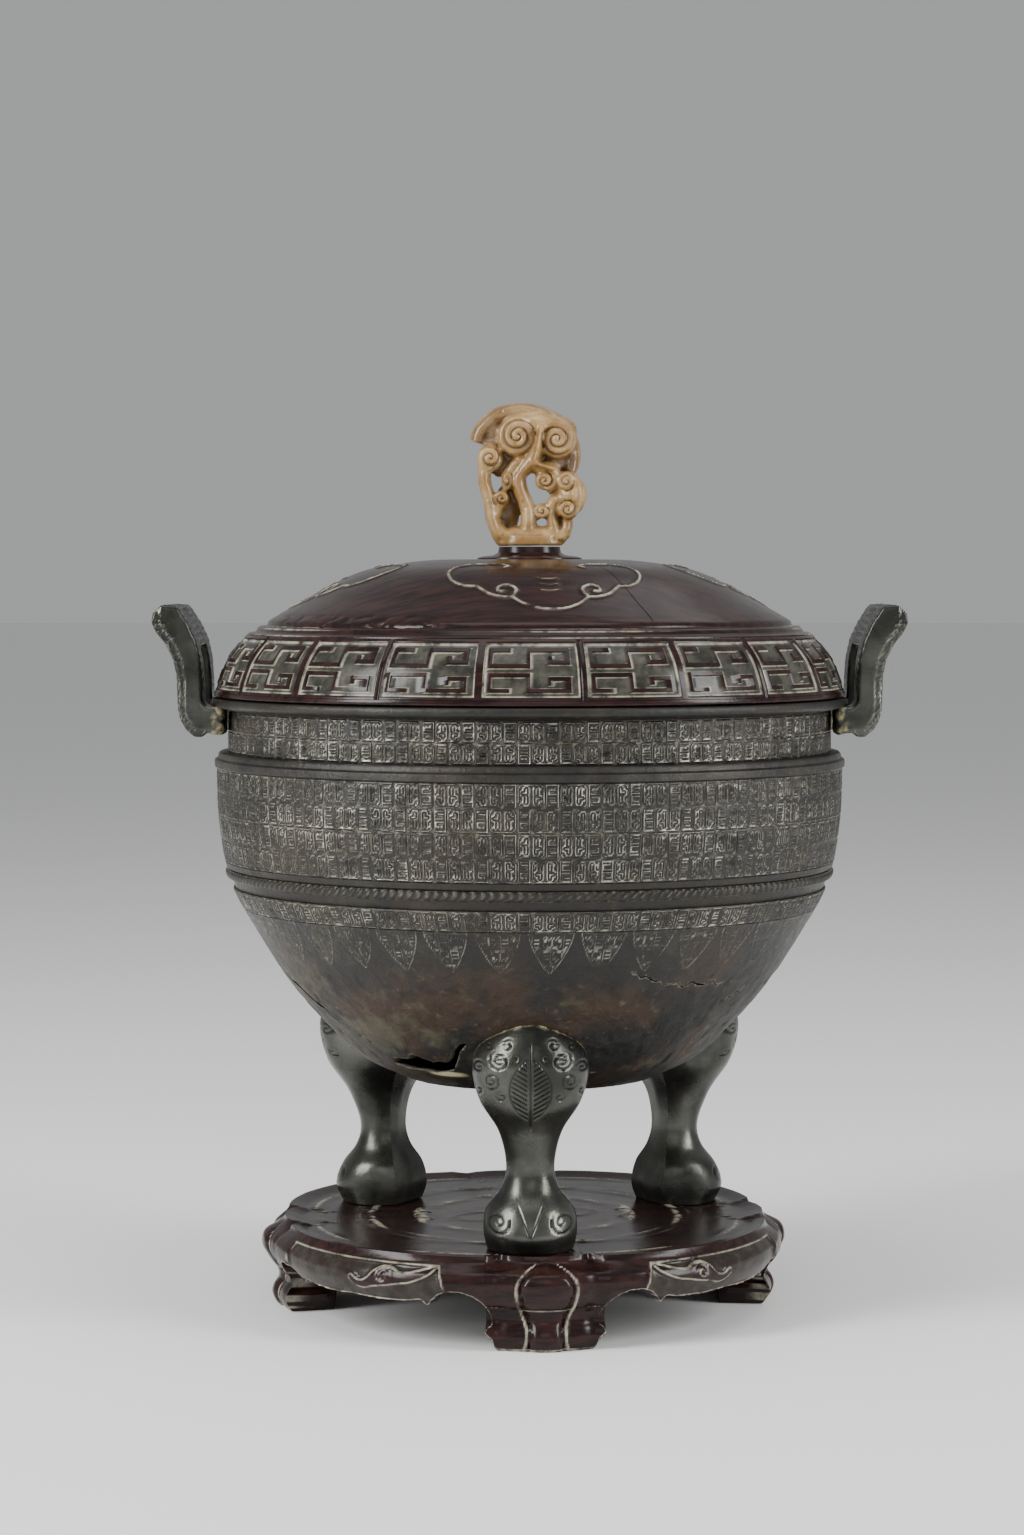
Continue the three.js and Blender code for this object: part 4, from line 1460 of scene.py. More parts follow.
@dataclass
class Lid:
    """Turned wood cover with a fret band, a carved dome and a knob.

    A fret panel's strap path runs over shares of the panel's width and the band's height.
    """

    band: Path = ((125.4, 246.4), (123.9, 251.6), (121, 258.5), (117.4, 263.6), (112.8, 268.5))
    foot: Path = (
        (112.4, 250.4), (112.3, 240.6), (113.2, 240.4), (115.8, 240.6), (115.8, 244.0),
        (125.0, 244.0), (125.8, 244.4), (126.0, 245.2), (125.7, 246.0), (122.5, 246.6),
        (119, 256), (112.0, 266.4), (112.6, 268.0), (112.4, 268.9), (111.4, 269.4),
        (109.6, 269.6), (109.0, 270.2), (108.6, 271.2), (107.6, 271.9), (105.4, 272.0),
        (104.6, 272.5), (104.2, 273.8), (102.8, 274.8),
    )
    shining_rows: tuple[int, ...] = (13, 17, 19)
    dome: Path = (
        (101, 275.8), (98, 277.6), (88.8, 282.6), (80, 287.6), (69.6, 292.6), (58.8, 295.6),
        (40, 298), (24, 298.2),
    )
    knob: Path = (
        (21.0, 298.2), (20.9, 298.9), (19.6, 299.3), (18.8, 299.5), (14.4, 300.0),
        (12.6, 301.0), (12.3, 302.6), (12.3, 303.3), (0.0, 303.3),
    )
    under: Path = ((0.0, 291.0), (30.0, 291.0), (62, 288), (84, 278), (96, 267.6), (106, 258))
    low_z: float = 247.6
    high_z: float = 267.0
    panels: int = 20
    first_joint: float = 9.0
    bar: float = 0.05
    band_radius: float = 121.0
    band_height: float = 24.0
    strap: float = 1.75
    relief: float = 0.9
    strap_path: Path = (
        (0.30, 0.735), (0.30, 0.655), (0.105, 0.655), (0.105, 0.88), (0.53, 0.88),
        (0.53, 0.585), (0.945, 0.585), (0.945, 0.88), (0.755, 0.88),
    )
    edge_lines: tuple[float, ...] = (-1.9, -1.15, -0.9, 0.9, 1.15, 1.9)
    bar_lines: tuple[float, ...] = (-0.05, -0.043, -0.030, -0.022, -0.014, -0.005)
    lip_lines: tuple[float, ...] = (-0.075, -0.055, -0.03, -0.012)
    # Half a cloud lobe, across and outwards from the lid's axis: edge, curl and two scallops.
    collar_paths: tuple[Path, ...] = (
        ((0, 95.4), (5.5, 94.2), (10.6, 90.6), (14.5, 85.7)),
        ((14.5, 85.7), (12.6, 82.0), (13.6, 79.0), (16.6, 77.4), (19.2, 78.6), (19.2, 81.2),
         (17.0, 81.6)),
        ((14.5, 85.7), (19.0, 84.6), (23.4, 81.2), (27.0, 75.4)),
        ((27.0, 75.4), (31.6, 73.2), (35.4, 68.0), (36.6, 60.6), (34.2, 54.6), (28.0, 51.6),
         (20.6, 53.2), (15.4, 56.4), (13.6, 59.4), (15.4, 61.0)),
    )
    collar_yaw: float = 5.0
    joint_azimuth: float = 26.5

    @property
    def half_strap(self) -> tuple[float, float]:
        """Half a strap's width, as shares of a panel's width and of the band's height."""
        arc = 360 / self.panels * math.pi / 180 * self.band_radius * (1 - 2 * self.bar)
        return self.strap / 2 / arc, self.strap / 2 / self.band_height

    def strap_reach(self, x: Array, y: Array) -> Array:
        """How far places are from the middle of a panel's nearest strap.

        Args:
            x: shares of the panel's width.
            y: shares of the band's height.

        Returns:
            Distances in half strap widths.
        """
        half_x, half_y = self.half_strap
        best = np.full(x.shape, FAR)
        for mirrored in (y, 1 - y):
            for (x0, y0), (x1, y1) in zip(self.strap_path, self.strap_path[1:]):
                gap_x = np.abs(x - (x0 + x1) / 2) - abs(x1 - x0) / 2
                gap_y = np.abs(mirrored - (y0 + y1) / 2) - abs(y1 - y0) / 2
                gap = np.maximum(np.maximum(gap_x, 0) / half_x, np.maximum(gap_y, 0) / half_y)
                best = np.minimum(best, gap)
        return best

    def lines(self, middles: set[float], half: float) -> Array:
        """Grid lines that follow every strap's edges.

        Args:
            middles: where the straps' middle lines are, from 0 to 1.
            half: half a strap's width.

        Returns:
            Lines from 0 to 1, nowhere far apart.
        """
        marks = {round(middle + shift * half, 4) for middle in middles
                 for shift in self.edge_lines} | {0.0, 1.0}
        fixed = sorted(mark for mark in marks if 0 <= mark <= 1)
        lines: list[float] = []
        for low, high in zip(fixed, fixed[1:]):
            count = max(1, math.ceil((high - low) / 0.12))
            lines += list(np.linspace(low, high, count, endpoint=False))
        return np.array(lines + [1.0])

    def fret_band(self) -> Piece:
        """The ring of fret panels, every second one mirrored, with bars between them.

        Returns:
            The band.
        """
        curve = smooth_path(self.band, 300)
        half_x, half_y = self.half_strap
        xs = self.lines({x for x, _ in self.strap_path}, half_x)
        ys = self.lines({y for _, z in self.strap_path for y in (z, 1 - z)}, half_y)
        edges, lip = np.array(self.bar_lines), np.array(self.lip_lines)
        panel = np.concatenate([edges, xs, 1 - edges[::-1]])
        panel = (panel + self.bar) / (1 + 2 * self.bar)
        rise = np.concatenate([lip, ys, 1 - lip[::-1]])
        count, rows = len(panel), len(rise) - 1
        columns, spans = self.panels * count, rows + 3

        def radius_at(height: Array) -> Array:
            """The band's radius at a height."""
            return np.interp(height, curve[:, 1], curve[:, 0])

        def place(u: Array, v: Array) -> Placed:
            """Goes up the carved face and back down behind it.

            Args:
                u: shares of the way round.
                v: shares of the way round the band's section.

            Returns:
                Points, relief and stain.
            """
            column = row_of(u, columns) % columns
            number, local = column // count, panel[column % count]
            level = row_of(v, spans) % spans
            front = level <= rows
            y = rise[np.clip(level, 0, rows)]
            y = np.where(level == rows + 1, rise[-1], np.where(level == rows + 2, rise[0], y))
            even = number % 2 == 0
            x = local * (1 + 2 * self.bar) - self.bar
            x = np.where(even, x, 1 - x)
            inside = (x >= 0) & (x <= 1) & (y >= 0) & (y <= 1)
            reach = self.strap_reach(np.where(even, 1 - x, x), y)
            straps = step(1.13, 0.92, reach)
            rim_x, rim_y = np.maximum(-x, x - 1), np.maximum(-y, y - 1)
            bars = step(-0.004, 0.016, np.maximum(rim_x, rim_y * 0.8))
            seam_side = np.where(even, local < 0.5, local > 0.5)
            seam = seam_side & (np.abs(np.where(local < 0.5, local, 1 - local)) < 0.008)
            groove = seam_side & (rim_x > 0.020) & (rim_x < 0.032)
            lift = np.maximum(straps * inside, bars)
            depth = np.where(front, (lift - 1) * self.relief, -3.0)
            depth = depth - np.where(front & seam, 0.7, 0) - np.where(front & groove, 0.35, 0)
            azimuth = self.first_joint + (number + local) * (360 / self.panels)
            height = self.low_z + (self.high_z - self.low_z) * y
            slope = radius_at(height - 0.5) - radius_at(height + 0.5)
            length = np.hypot(1, slope)
            points = polar(radius_at(height) + depth / length, azimuth,
                           height + depth * slope / length)
            # The outline beside each strap is pale residue in the recess; the line along the panel's
            # rim is a painted highlight.
            outline = step(1.0, 1.1, reach) * step(1.85, 1.2, reach) * inside
            edge = bump(0.002, 0.016, np.maximum(rim_x, rim_y))
            ground = np.where(inside & front, 1 - straps, 0)
            return points, np.where(front, np.maximum(outline, edge), 0), ground

        return sheet_piece("lid_fret_band", columns, spans, place)

    def collar(self, radius: Array, azimuth: Array) -> Array:
        """The carved cloud collar: four lobes, each with three short strokes.

        Args:
            radius: distances from the axis.
            azimuth: degrees from the front.

        Returns:
            Height, 0 to 1.
        """
        angle = np.radians(wrap(azimuth - self.collar_yaw, 90))
        across, along = np.abs(radius * np.sin(angle)), radius * np.cos(angle)
        near = np.full(radius.shape, 1e9)
        zone = (radius > 40) & (radius < 99)
        for path in self.collar_paths:
            reach = away_from(across[zone], along[zone], smooth_path(path, 60))
            near[zone] = np.minimum(near[zone], reach)
        strokes = [crest(along - (74.5 + number * 4.2) + 0.07 * across**2, 0.7)
                   for number in range(3)]
        strokes = np.maximum.reduce(strokes) * step(4.6, 3.4, across)
        return np.clip(np.maximum(crest(near, 0.68), strokes * 0.6), 0, 1)

    def cover(self) -> Piece:
        """The dome, its mouldings, the knob and the hollow underside, as one shell.

        Returns:
            The cover.
        """
        dome = smooth_path(self.dome, 78)
        loop = np.concatenate([self.foot, dome, self.knob, self.under])
        spans = len(loop)
        dome_start, dome_end = len(self.foot), len(self.foot) + len(dome)

        def place(u: Array, v: Array) -> Placed:
            """Turns the section round the axis and carves the dome.

            Args:
                u: shares of the way round.
                v: shares of the way round the section.

            Returns:
                Points, relief and stain.
            """
            level = row_of(v, spans) % spans
            radius, height = loop[level].T
            azimuth = facing_front(u, 0.3)
            beside = azimuth - self.joint_azimuth
            drawn_in = self.joint_azimuth + 0.2 * beside
            azimuth = np.where(np.abs(beside) < 0.8, drawn_in, azimuth)
            top = (level >= dome_start) & (level < dome_end)
            carved = np.where(top, self.collar(radius, azimuth), 0)
            worn = bump(-45, 42, azimuth) * bump(102.5, 4.0, radius)
            chip = grain(polar(radius, azimuth, height), 5.0, 4, 9.0)
            chip = worn * np.clip(chip + 0.12, 0, 1)
            joint = (np.abs(beside) < 0.32) * step(57, 60, radius) * step(104, 102, radius) * top
            wear_and_sheen = 0.55 + 0.45 * np.sin(np.radians(azimuth * 5 + 30))
            height = height + 0.85 * carved - 2.0 * chip - 0.6 * joint
            # Pale in the finish: the collar's lines and the shining rims as painted highlight, the
            # lip as wear and painted highlight, the chips as wear.
            lip = bump(102, 1.6, radius) * top
            rims = np.isin(level, self.shining_rows) * 0.75
            shine = np.maximum.reduce([carved, lip * wear_and_sheen, rims * wear_and_sheen, chip * 0.8])
            return polar(radius, azimuth, height), shine, radius * 0

        return sheet_piece("lid_cover", 440, spans, place)

    def build(self, wood: Material) -> None:
        """Builds and dresses the lid."""
        for piece in (self.fret_band(), self.cover()):
            hand_over(piece, wood, "lid")


# ---- finial ---------------------------------------------------------------------------


class Head(NamedTuple):
    """A cushion-shaped fungus head and how its scroll turns, 0 for no scroll."""

    x: float
    z: float
    wide: float
    tall: float
    depth: float
    turn: int


class Stem(NamedTuple):
    """A stem's half width and half depth, and x, z and depth along its way."""

    half: float
    half_depth: float
    stations: tuple[Triple, ...]


@dataclass
class Finial:
    """Openwork cluster of fungus heads on twisting stems."""

    heads: tuple[Head, ...] = tuple(Head(*values) for values in (
        (-4.8, 347.2, 7.9, 8.2, -2.0, 1), (10.9, 346.0, 7.6, 7.6, -2.0, -1),
        (3.2, 351.2, 12.5, 5.4, -1.0, 0), (1.5, 349.5, 18.0, 8.6, 3.5, 0),
        (-14.5, 350.0, 5.4, 5.4, 3.0, 0), (14.5, 341.5, 5.2, 7.0, 3.4, 0),
        (-15.8, 338.6, 5.2, 5.4, -1.0, -1), (5.9, 329.6, 3.9, 3.9, -2.0, -1),
        (14.6, 329.2, 4.0, 4.2, -2.5, 1), (15.2, 318.2, 4.4, 4.2, -2.0, -1),
        (16.6, 323.8, 6.0, 8.6, -0.5, 0), (-9.0, 329.8, 2.4, 4.2, -1.0, 1),
        (-11.2, 322.6, 3.2, 3.2, -1.5, -1), (4.9, 317.6, 3.2, 3.2, -1.5, 1),
        (1.6, 308.2, 15.2, 3.7, 0.4, 0), (-9.4, 319.0, 4.8, 9.6, 3.4, 0),
        (-12.0, 337.5, 4.4, 6.6, 3.2, 0), (10.0, 337.6, 6.6, 5.0, 3.4, 0),
        (13.0, 314.0, 3.6, 8.0, 3.4, 0), (-6.0, 341.0, 7.0, 4.4, 3.4, 0),
    ))
    stems: tuple[Stem, ...] = (
        Stem(1.6, 7.4, ((4.9, 351.5, -2.2), (4.2, 346.0, -2.6), (3.0, 340.0, -2.2),
                        (2.2, 336.6, -1.8), (5.6, 335.2, -1.8), (9.6, 334.0, -1.6))),
        Stem(2.6, 5.0, ((14.6, 316.0, 1), (14.8, 311.0, 1), (12.0, 306.4, 0))),
        Stem(3.4, 5.2, ((-21.0, 344.8, 3), (-18.6, 350.6, 3), (-11.4, 356.2, 3), (-2, 357.6, 2.5),
                        (8.0, 354.8, 2.5), (14.4, 349.4, 3), (17.2, 341.6, 4), (16.4, 334.6, 4))),
        Stem(3.1, 5.4, ((2.6, 349, -1), (2.2, 341, -1), (-0.4, 336, -1), (-4.4, 331, 0),
                        (-3.2, 324.5, 0), (-0.6, 318, 0), (-0.6, 311, 0), (-1.4, 304.8, 0))),
        Stem(2.6, 5.0, ((-18.0, 337, 0), (-18.0, 330, 0), (-16.0, 322, 0), (-14.8, 314, 0),
                        (-12.0, 307, 0), (-9.0, 304.8, 0))),
        Stem(2.7, 4.8, ((-1.0, 335.0, 0), (4.0, 334.8, -1), (9.4, 333.6, -1), (9.4, 328.4, -1),
                        (6.4, 326.8, -1))),
        Stem(2.4, 4.8, ((15.0, 322, 0), (9.6, 321.6, 0), (8.8, 316.0, 0), (9.8, 310.6, 0),
                        (10.4, 304.8, 0))),
        Stem(2.4, 4.2, ((-9.2, 331, 1), (-6.4, 335.4, 0), (-2, 338, 0))),
        Stem(2.3, 4.0, ((-11.2, 321.6, 0), (-13.2, 318.0, 0), (-14.4, 314.4, 0))),
        Stem(3.2, 5.4, ((-13.4, 310.6, 1), (-9.0, 307.4, 0), (-2.0, 308.0, 0))),
        Stem(1.6, 3.4, ((4.6, 316.4, 0), (1.8, 314.4, 0), (0.2, 312.6, 0))),
        Stem(1.9, 3.6, ((-17.6, 344.8, 2), (-12.0, 345.2, 2), (-8, 347.0, 2))),
        Stem(2.2, 4.0, ((17.2, 336, 3), (16.4, 331, 2), (15.6, 326, 1))),
        Stem(2.4, 3.0, ((-8.6, 309, 4), (-6.4, 315, 4.5), (-6.0, 322, 4.5), (-8.6, 329, 4))),
    )
    foot_size: Triple = (12.2, 7.6, 4.0)
    foot_centre: Triple = (1.0, 0, 305.9)
    low_z: float = 303.65
    high_z: float = 360.6
    fan_x: float = 11.4
    fan_z: float = 323.8
    voxel: float = 0.64

    def head(self, head: Head) -> Piece:
        """One cushion-shaped fungus head, flatter where it backs the others.

        Args:
            head: its measures.

        Returns:
            The head.
        """
        deselect()
        bpy.ops.mesh.primitive_uv_sphere_add(segments=24, ring_count=14, radius=1.0)
        piece = bpy.context.object
        deep = 4.2 if head.depth > 2.9 else min(6.2, 2.4 + head.wide * 0.7)
        fit(piece, (head.wide, deep, head.tall), (head.x, head.depth, head.z))
        return piece

    def stem(self, stem: Stem) -> Piece:
        """One rounded stem along a curve.

        Args:
            stem: its measures.

        Returns:
            The stem.
        """
        rings = 25
        path = smooth_path(stem.stations, rings + 1)

        def along_path(ring: Array) -> list[Array]:
            """The path's x, z and depth at a ring."""
            return [np.interp(ring, np.arange(rings + 1), path[:, k]) for k in range(3)]

        def place(u: Array, v: Array) -> Placed:
            """Sets an oval ring across the path at each level; both ends close on a point.

            Args:
                u: shares of the way round.
                v: shares of the way along.

            Returns:
                Points, with no relief or stain.
            """
            ring = np.clip(v * (rings + 2) - 1, 0, rings)
            x, z, y = along_path(ring)
            ahead, behind = (along_path(np.clip(ring + shift, 0, rings)) for shift in (0.5, -0.5))
            dx, dz = ahead[0] - behind[0], ahead[1] - behind[1]
            size = np.hypot(dx, dz)
            angle = u * TAU
            level = v * (rings + 3)
            thick = np.where((level < 0.5) | (level > rings + 2.5), 0, 1)
            side = stem.half * np.cos(angle) * thick
            deep = stem.half_depth * np.sin(angle) * thick
            points = np.stack([x - side * dz / size, y + deep, z + side * dx / size], axis=1)
            return points, u * 0, u * 0

        return sheet_piece("stem", 14, rings + 3, place)

    def build(self, stone: Material) -> None:
        """Joins the heads and stems, remeshes them and cuts the scrolls.

        Args:
            stone: its finish.
        """
        parts = [self.head(head) for head in self.heads] + [self.stem(stem) for stem in self.stems]
        deselect()
        bpy.ops.mesh.primitive_cylinder_add(vertices=40, radius=1.0, depth=1.0)
        parts.append(bpy.context.object)
        fit(parts[-1], self.foot_size, self.foot_centre)
        deselect()
        for part in parts:
            part.select_set(True)
        bpy.context.view_layer.objects.active = parts[0]
        bpy.ops.object.join()
        piece = bpy.context.object
        piece.name = "finial_carved"
        apply_modifier(piece, "REMESH", mode="VOXEL", voxel_size=self.voxel * MM)
        apply_modifier(piece, "SMOOTH", factor=0.5, iterations=4)
        self.carve(piece)
        hand_over(piece, stone, "finial")

    def scrolls(self, x: Array, z: Array, front: Array) -> tuple[Array, Array]:
        """The scrolls on the heads.

        Args:
            x: places across.
            z: heights.
            front: how far each place faces the front.

        Returns:
            Grooves and ridges, each 0 to 1.
        """
        groove, ridge = np.zeros(len(x)), np.zeros(len(x))
        for head in self.heads:
            if head.turn == 0:
                continue
            reach = np.hypot((x - head.x) / head.wide, (z - head.z) / head.tall)
            turn = turn_of(x - head.x, z - head.z) * head.turn
            pitch = 3.1 if head.wide > 5 else 2.3
            swell = np.cos(TAU * (reach * head.wide / pitch + turn + 0.15))
            where = step(1.0, 0.86, reach) * np.clip(front * 1.6, 0, 1)
            groove = np.maximum(groove, np.clip(-swell, 0, 1) ** 1.5 * where)
            ridge = np.maximum(ridge, np.clip(swell, 0, 1) ** 2 * where)
        return np.clip(groove - ridge, 0, 1), ridge

    def carve(self, piece: Piece) -> None:
        """Cuts the heads' scrolls and the fan's ribs, and roughens the stone.

        Args:
            piece: the remeshed finial.
        """
        points, facing = coordinates(piece), normals(piece)
        x, z = points[:, 0], points[:, 2]
        front, aside = -facing[:, 1], np.abs(facing[:, 1])
        groove, ridge = self.scrolls(x, z, front)
        pits = np.clip(grain(points, 3.4, 3, 16.0) - 0.45, 0, 1) * -1.2
        fan = np.cos(TAU * np.hypot(x - self.fan_x, (z - self.fan_z) * 0.72) / 2.2)
        on_fan = step(14.6, 16.2, x) * step(10, 7.6, np.abs(z - 323.6))
        on_fan = on_fan * np.clip(front * 1.4 + 0.3, 0, 1) * (1 - np.clip(groove + ridge, 0, 1))
        rough = grain(points, 5.0, 4, 6.0) * 0.3 * 0.6
        push = 0.4 * ridge - 0.9 * groove + rough + pits + 0.35 * fan * on_fan
        points = points + facing * push[:, None]
        points[:, 2] = np.clip(points[:, 2], self.low_z, self.high_z)
        move_vertices(piece, points)
        store(piece, "relief", 0.5 - 0.5 * groove)
        # Painted shade: the stored number is high where the stone lies deep in the middle or faces
        # sideways.
        deep = step(4.2, 0.5, np.abs(points[:, 1])) * step(0.2, 0.7, aside)
        store(piece, "stain_and_shade", np.clip(deep + 0.35 * step(0.6, 0.1, aside), 0, 1))
        close_and_smooth(piece, 60)


# ---- stand ----------------------------------------------------------------------------


class Skin(NamedTuple):
    """A part of the stand's surface: radius, azimuth from its corner, height and shading."""

    radius: Array
    angle: Array
    height: Array
    relief: Array
    ground: Array


@dataclass
class Stand:
    """Carved stand: a lobed plate with a raised rim, an apron and four feet.

    The surface is laid out in four quarters, one for each corner with its foot.
    """

    yaw: float = 4.6
    centre_x: float = -2.0
    floor_z: float = 34.2
    rim_z: float = 35.8
    rim_width: float = 5.0
    side_radius: float = 100.5
    corner_radius: float = 96.5
    notch_radius: float = 92.0
    underside_z: float = 26.0
    inner_radius: float = 74.0
    # Arc of a cloud's lobes: millimetres beside the corner, height and size.
    cloud: tuple[Triple, ...] = (
        (43.4, 31.4, 1.0), (45.8, 30.0, 1.6), (49.4, 28.6, 2.0), (53.4, 27.4, 2.3),
        (57.4, 27.0, 2.6), (63.6, 27.2, 4.2), (69.4, 24.6, 2.4), (73.0, 23.2, 2.0),
        (76.2, 23.6, 1.8), (78.4, 25.4, 1.5),
    )
    cloud_curl: tuple[float, float] = (63.6, 27.2)
    # Height and half width of the egg on each foot.
    egg: Path = (
        (-2, 7.4), (2, 6.6), (6, 6.0), (10, 6.4), (14, 8.0), (18, 9.4), (24.6, 9.9), (28, 8.8),
        (31, 6.2), (33.6, 2.0), (36, 0.4),
    )
    # Half of the lower edge, in degrees from the corner and height.
    outline: Path = (
        (-45.0, 17.8), (-38.0, 17.4), (-31.0, 17.8), (-28.0, 18.8), (-26.3, 16.4), (-25.5, 18.4),
        (-23.6, 21.4), (-21.0, 23.0), (-18.2, 23.0), (-15.8, 21.4), (-14.0, 18.8), (-12.9, 15.8),
        (-12.2, 12.4), (-12.0, 9.6), (-13.0, 8.2), (-13.4, 6.8), (-12.6, 5.2), (-11.8, 4.0),
        (-11.5, 1.2), (-11.0, 0.0), (0.0, 0.0),
    )
    # Height and swell of the apron's side.
    belly: Path = (
        (0, -0.8), (2, 0.6), (5, 1.6), (8, 0.9), (11, -1.0), (14, -0.8), (17, 1.2), (20.5, 3.6),
        (24.5, 5.6), (28.5, 5.2), (31.5, 2.8), (34, 0.8), (36, 0.0),
    )
    # Radius, half width and height of the floor's rings.
    rings: tuple[Triple, ...] = (
        (62.0, 1.1, 1.0), (43.6, 0.9, 1.0), (40.6, 0.8, 0.8), (66.5, 0.6, 0.4),
    )
    columns: tuple[int, ...] = (210, 130, 60, 130)
    face_rows: int = 52
    top_rows: int = 40
    under_rows: int = 10

    def rim_radius(self, away: Array) -> Array:
        """Radius of the rim at an angle from the nearest corner.

        Args:
            away: degrees from the corner.

        Returns:
            The radius.
        """
        corner, side = self.corner_radius, self.side_radius
        marks = [0, 5, 8.5, 10.2, 11.2, 13.4, 20, 30, 45]
        radii = [corner, corner - 0.6, corner - 2.2, self.notch_radius, self.notch_radius,
                 corner + 0.4, side - 2.2, side - 0.8, side]
        return np.interp(away, marks, radii)

    def lower_edge(self, count: int) -> Array:
        """The lower edge of one quarter.

        Args:
            count: how many even steps it is divided into.

        Returns:
            Degrees from the corner and heights, at the start of each step.
        """
        left = np.array(self.outline)
        both = np.concatenate([left, (left * [-1, 1])[-2::-1]])
        length = lengths_of(both * [math.pi / 180 * 100, 1])
        even = np.linspace(0, length[-1], count + 1)[:-1]
        return np.stack([np.interp(even, length, both[:, k]) for k in range(2)], axis=1)

    def carving(self, angle: Array, height: Array, clouded: Array) -> Placed:
        """The carving on the outer face.

        Args:
            angle: degrees from the nearest corner.
            height: heights in millimetres.
            clouded: true where the panels beside the corner hold a cloud.

        Returns:
            How far the face stands out in millimetres, its pale edges, partly worn and partly painted
            highlight, and its sunk ground.
        """
        side = np.abs(angle) * math.pi / 180 * 102
        egg = smooth_path(self.egg, 120)
        half = np.interp(height, egg[:, 0], egg[:, 1])
        dome = np.sqrt(np.clip(1 - (side / np.maximum(half, 0.5)) ** 2, 0, 1))
        dome *= step(34, 30, height)
        groove = crest(side - half, 0.6) * step(35, 32, height)
        cord = crest(side - half - 1.7, 0.7) * step(35, 32, height)
        lobes = np.full_like(side, FAR)
        for x, z, size in smooth_path(self.cloud, 48):
            lobes = np.minimum(lobes, np.hypot(side - x, (height - z) * 1.1) - size)
        lobes = np.where(clouded, lobes, FAR)
        cloud = step(0.7, -0.3, lobes)
        x, z = self.cloud_curl
        reach = np.hypot(side - x, (height - z) * 1.1)
        spiral = wave(reach / 2.9 - turn_of(side - x, height - z)) * step(4.4, 3.8, reach)
        spiral = spiral * clouded
        bound = np.minimum(32.2 - height, (side - 41.5) * 0.8 + 0.25 * (32 - height))
        ground = step(-0.2, 0.9, bound) * step(17.2, 18.2, height) * (1 - cloud)
        frame_line = crest(bound, 0.6) * step(15, 19, height)
        out = 2.2 * dome - 0.6 * groove + 0.5 * cord - 0.9 * ground
        out = out + 0.6 * cloud * (0.4 + 0.8 * spiral) + 0.5 * frame_line
        shine = [cord, crest(lobes + 0.3, 0.55) * 0.9, spiral**3 * 0.8, frame_line * 0.8,
                 0.2 * dome]
        return out, np.clip(np.maximum.reduce(shine), 0, 1), ground

    def outer_face(self, angle: Array, height: Array, clouded: Array) -> Skin:
        """The carved outer face, with its pale edges, partly worn and partly painted highlight, and
        sunk ground.

        Args:
            angle: degrees from the nearest corner.
            height: heights in millimetres.
            clouded: true where the panels beside the corner hold a cloud.

        Returns:
            The surface there.
        """
        belly = smooth_path(self.belly, 80)
        swell = np.interp(height, belly[:, 0], belly[:, 1])
        body = self.rim_radius(np.abs(angle))
        body = body + (self.side_radius - 2.0 - body) * step(34, 30, height) * 0.7
        carved, relief, ground = self.carving(angle, height, clouded)
        seam = crest(height - 15.8 - 0.006 * angle**2, 0.3) * (np.abs(angle) < 14)
        radius = body + swell + carved - 0.4 * seam
        return Skin(radius, angle, height, np.maximum(relief, seam * 0.7), ground * 0.5)

    def top_relief(self, radius: Array, angle: Array) -> Array:
        """The rings, border line and waves on the floor.

        Args:
            radius: distances from the axis.
            angle: degrees from the nearest corner.

        Returns:
            Height in millimetres.
        """
        corner = self.corner_radius
        border = np.interp(np.abs(angle), [0, 7, 9.5, 12, 45],
                           [corner - 13, corner - 14, self.notch_radius - 15, corner - 10.5,
                            self.side_radius - 10])
        ripple = crest((radius - 22) - 7 * np.sin(np.radians(angle * 4 + 40)), 1.2) * 0.5
        lifts = [high * crest(radius - centre, half) for centre, half, high in self.rings]
        return np.maximum.reduce([*lifts, crest(radius - border, 0.8) * 0.6, ripple * 0.7])

    def top(self, across: Array, angle: Array) -> Skin:
        """The rim and the floor.

        Args:
            across: shares of the way from the rim in to the axis.
            angle: degrees from the nearest corner.

        Returns:
            The surface there.
        """
        rim = self.rim_radius(np.abs(angle))
        inward = rim * (1 - across) ** 1.15
        away = rim - inward
        lift = self.top_relief(inward, angle)
        plate = self.floor_z + lift * step(0, 3, away - self.rim_width)
        raised = step(self.rim_width, self.rim_width - 1.4, away)
        plate = plate + (self.rim_z - self.floor_z) * raised
        plate = plate - 0.5 * bump(2.6, 1.1, away)
        edges = np.maximum(bump(0.4, 0.9, away), bump(self.rim_width - 0.6, 0.9, away))
        relief = np.maximum(np.clip(lift * 1.25, 0, 1), edges)
        return Skin(inward, angle, plate, relief, angle * 0)

    def underside(self, back: Array, low: Skin, angle: Array) -> Skin:
        """The underside, from the axis out, down the inner face and across the lower edge.

        Args:
            back: shares of the way.
            low: the outer face at the lower edge.
            angle: even degrees from the nearest corner.

        Returns:
            The surface there.
        """
        inside = self.inner_radius
        inner_edge = low.radius - 9 - 8 * step(16, 9, low.height)
        radius = np.interp(back, [0, 0.5, 0.6, 1.0], [0, 66, inside, inside])
        radius = radius + (inner_edge - inside) * step(0.58, 0.86, back)
        radius = radius + (low.radius - inner_edge) * step(0.9, 1.0, back)
        drop = np.minimum(low.height - self.underside_z, 0)
        height = self.underside_z + drop * step(0.58, 0.86, back)
        azimuth = angle + (low.angle - angle) * step(0.5, 0.75, back)
        return Skin(radius, azimuth, height, np.where(back > 0.99, low.relief, 0), angle * 0)

    def build(self, wood: Material) -> None:
        """Builds and dresses the stand.

        Args:
            wood: its finish.
        """
        edge = np.concatenate([self.lower_edge(count) for count in self.columns])
        even = np.concatenate([np.linspace(-45, 45, count, endpoint=False)
                               for count in self.columns])
        corners = np.repeat(np.arange(4), self.columns)
        columns = sum(self.columns)
        top_end = self.face_rows + self.top_rows
        spans = top_end + self.under_rows

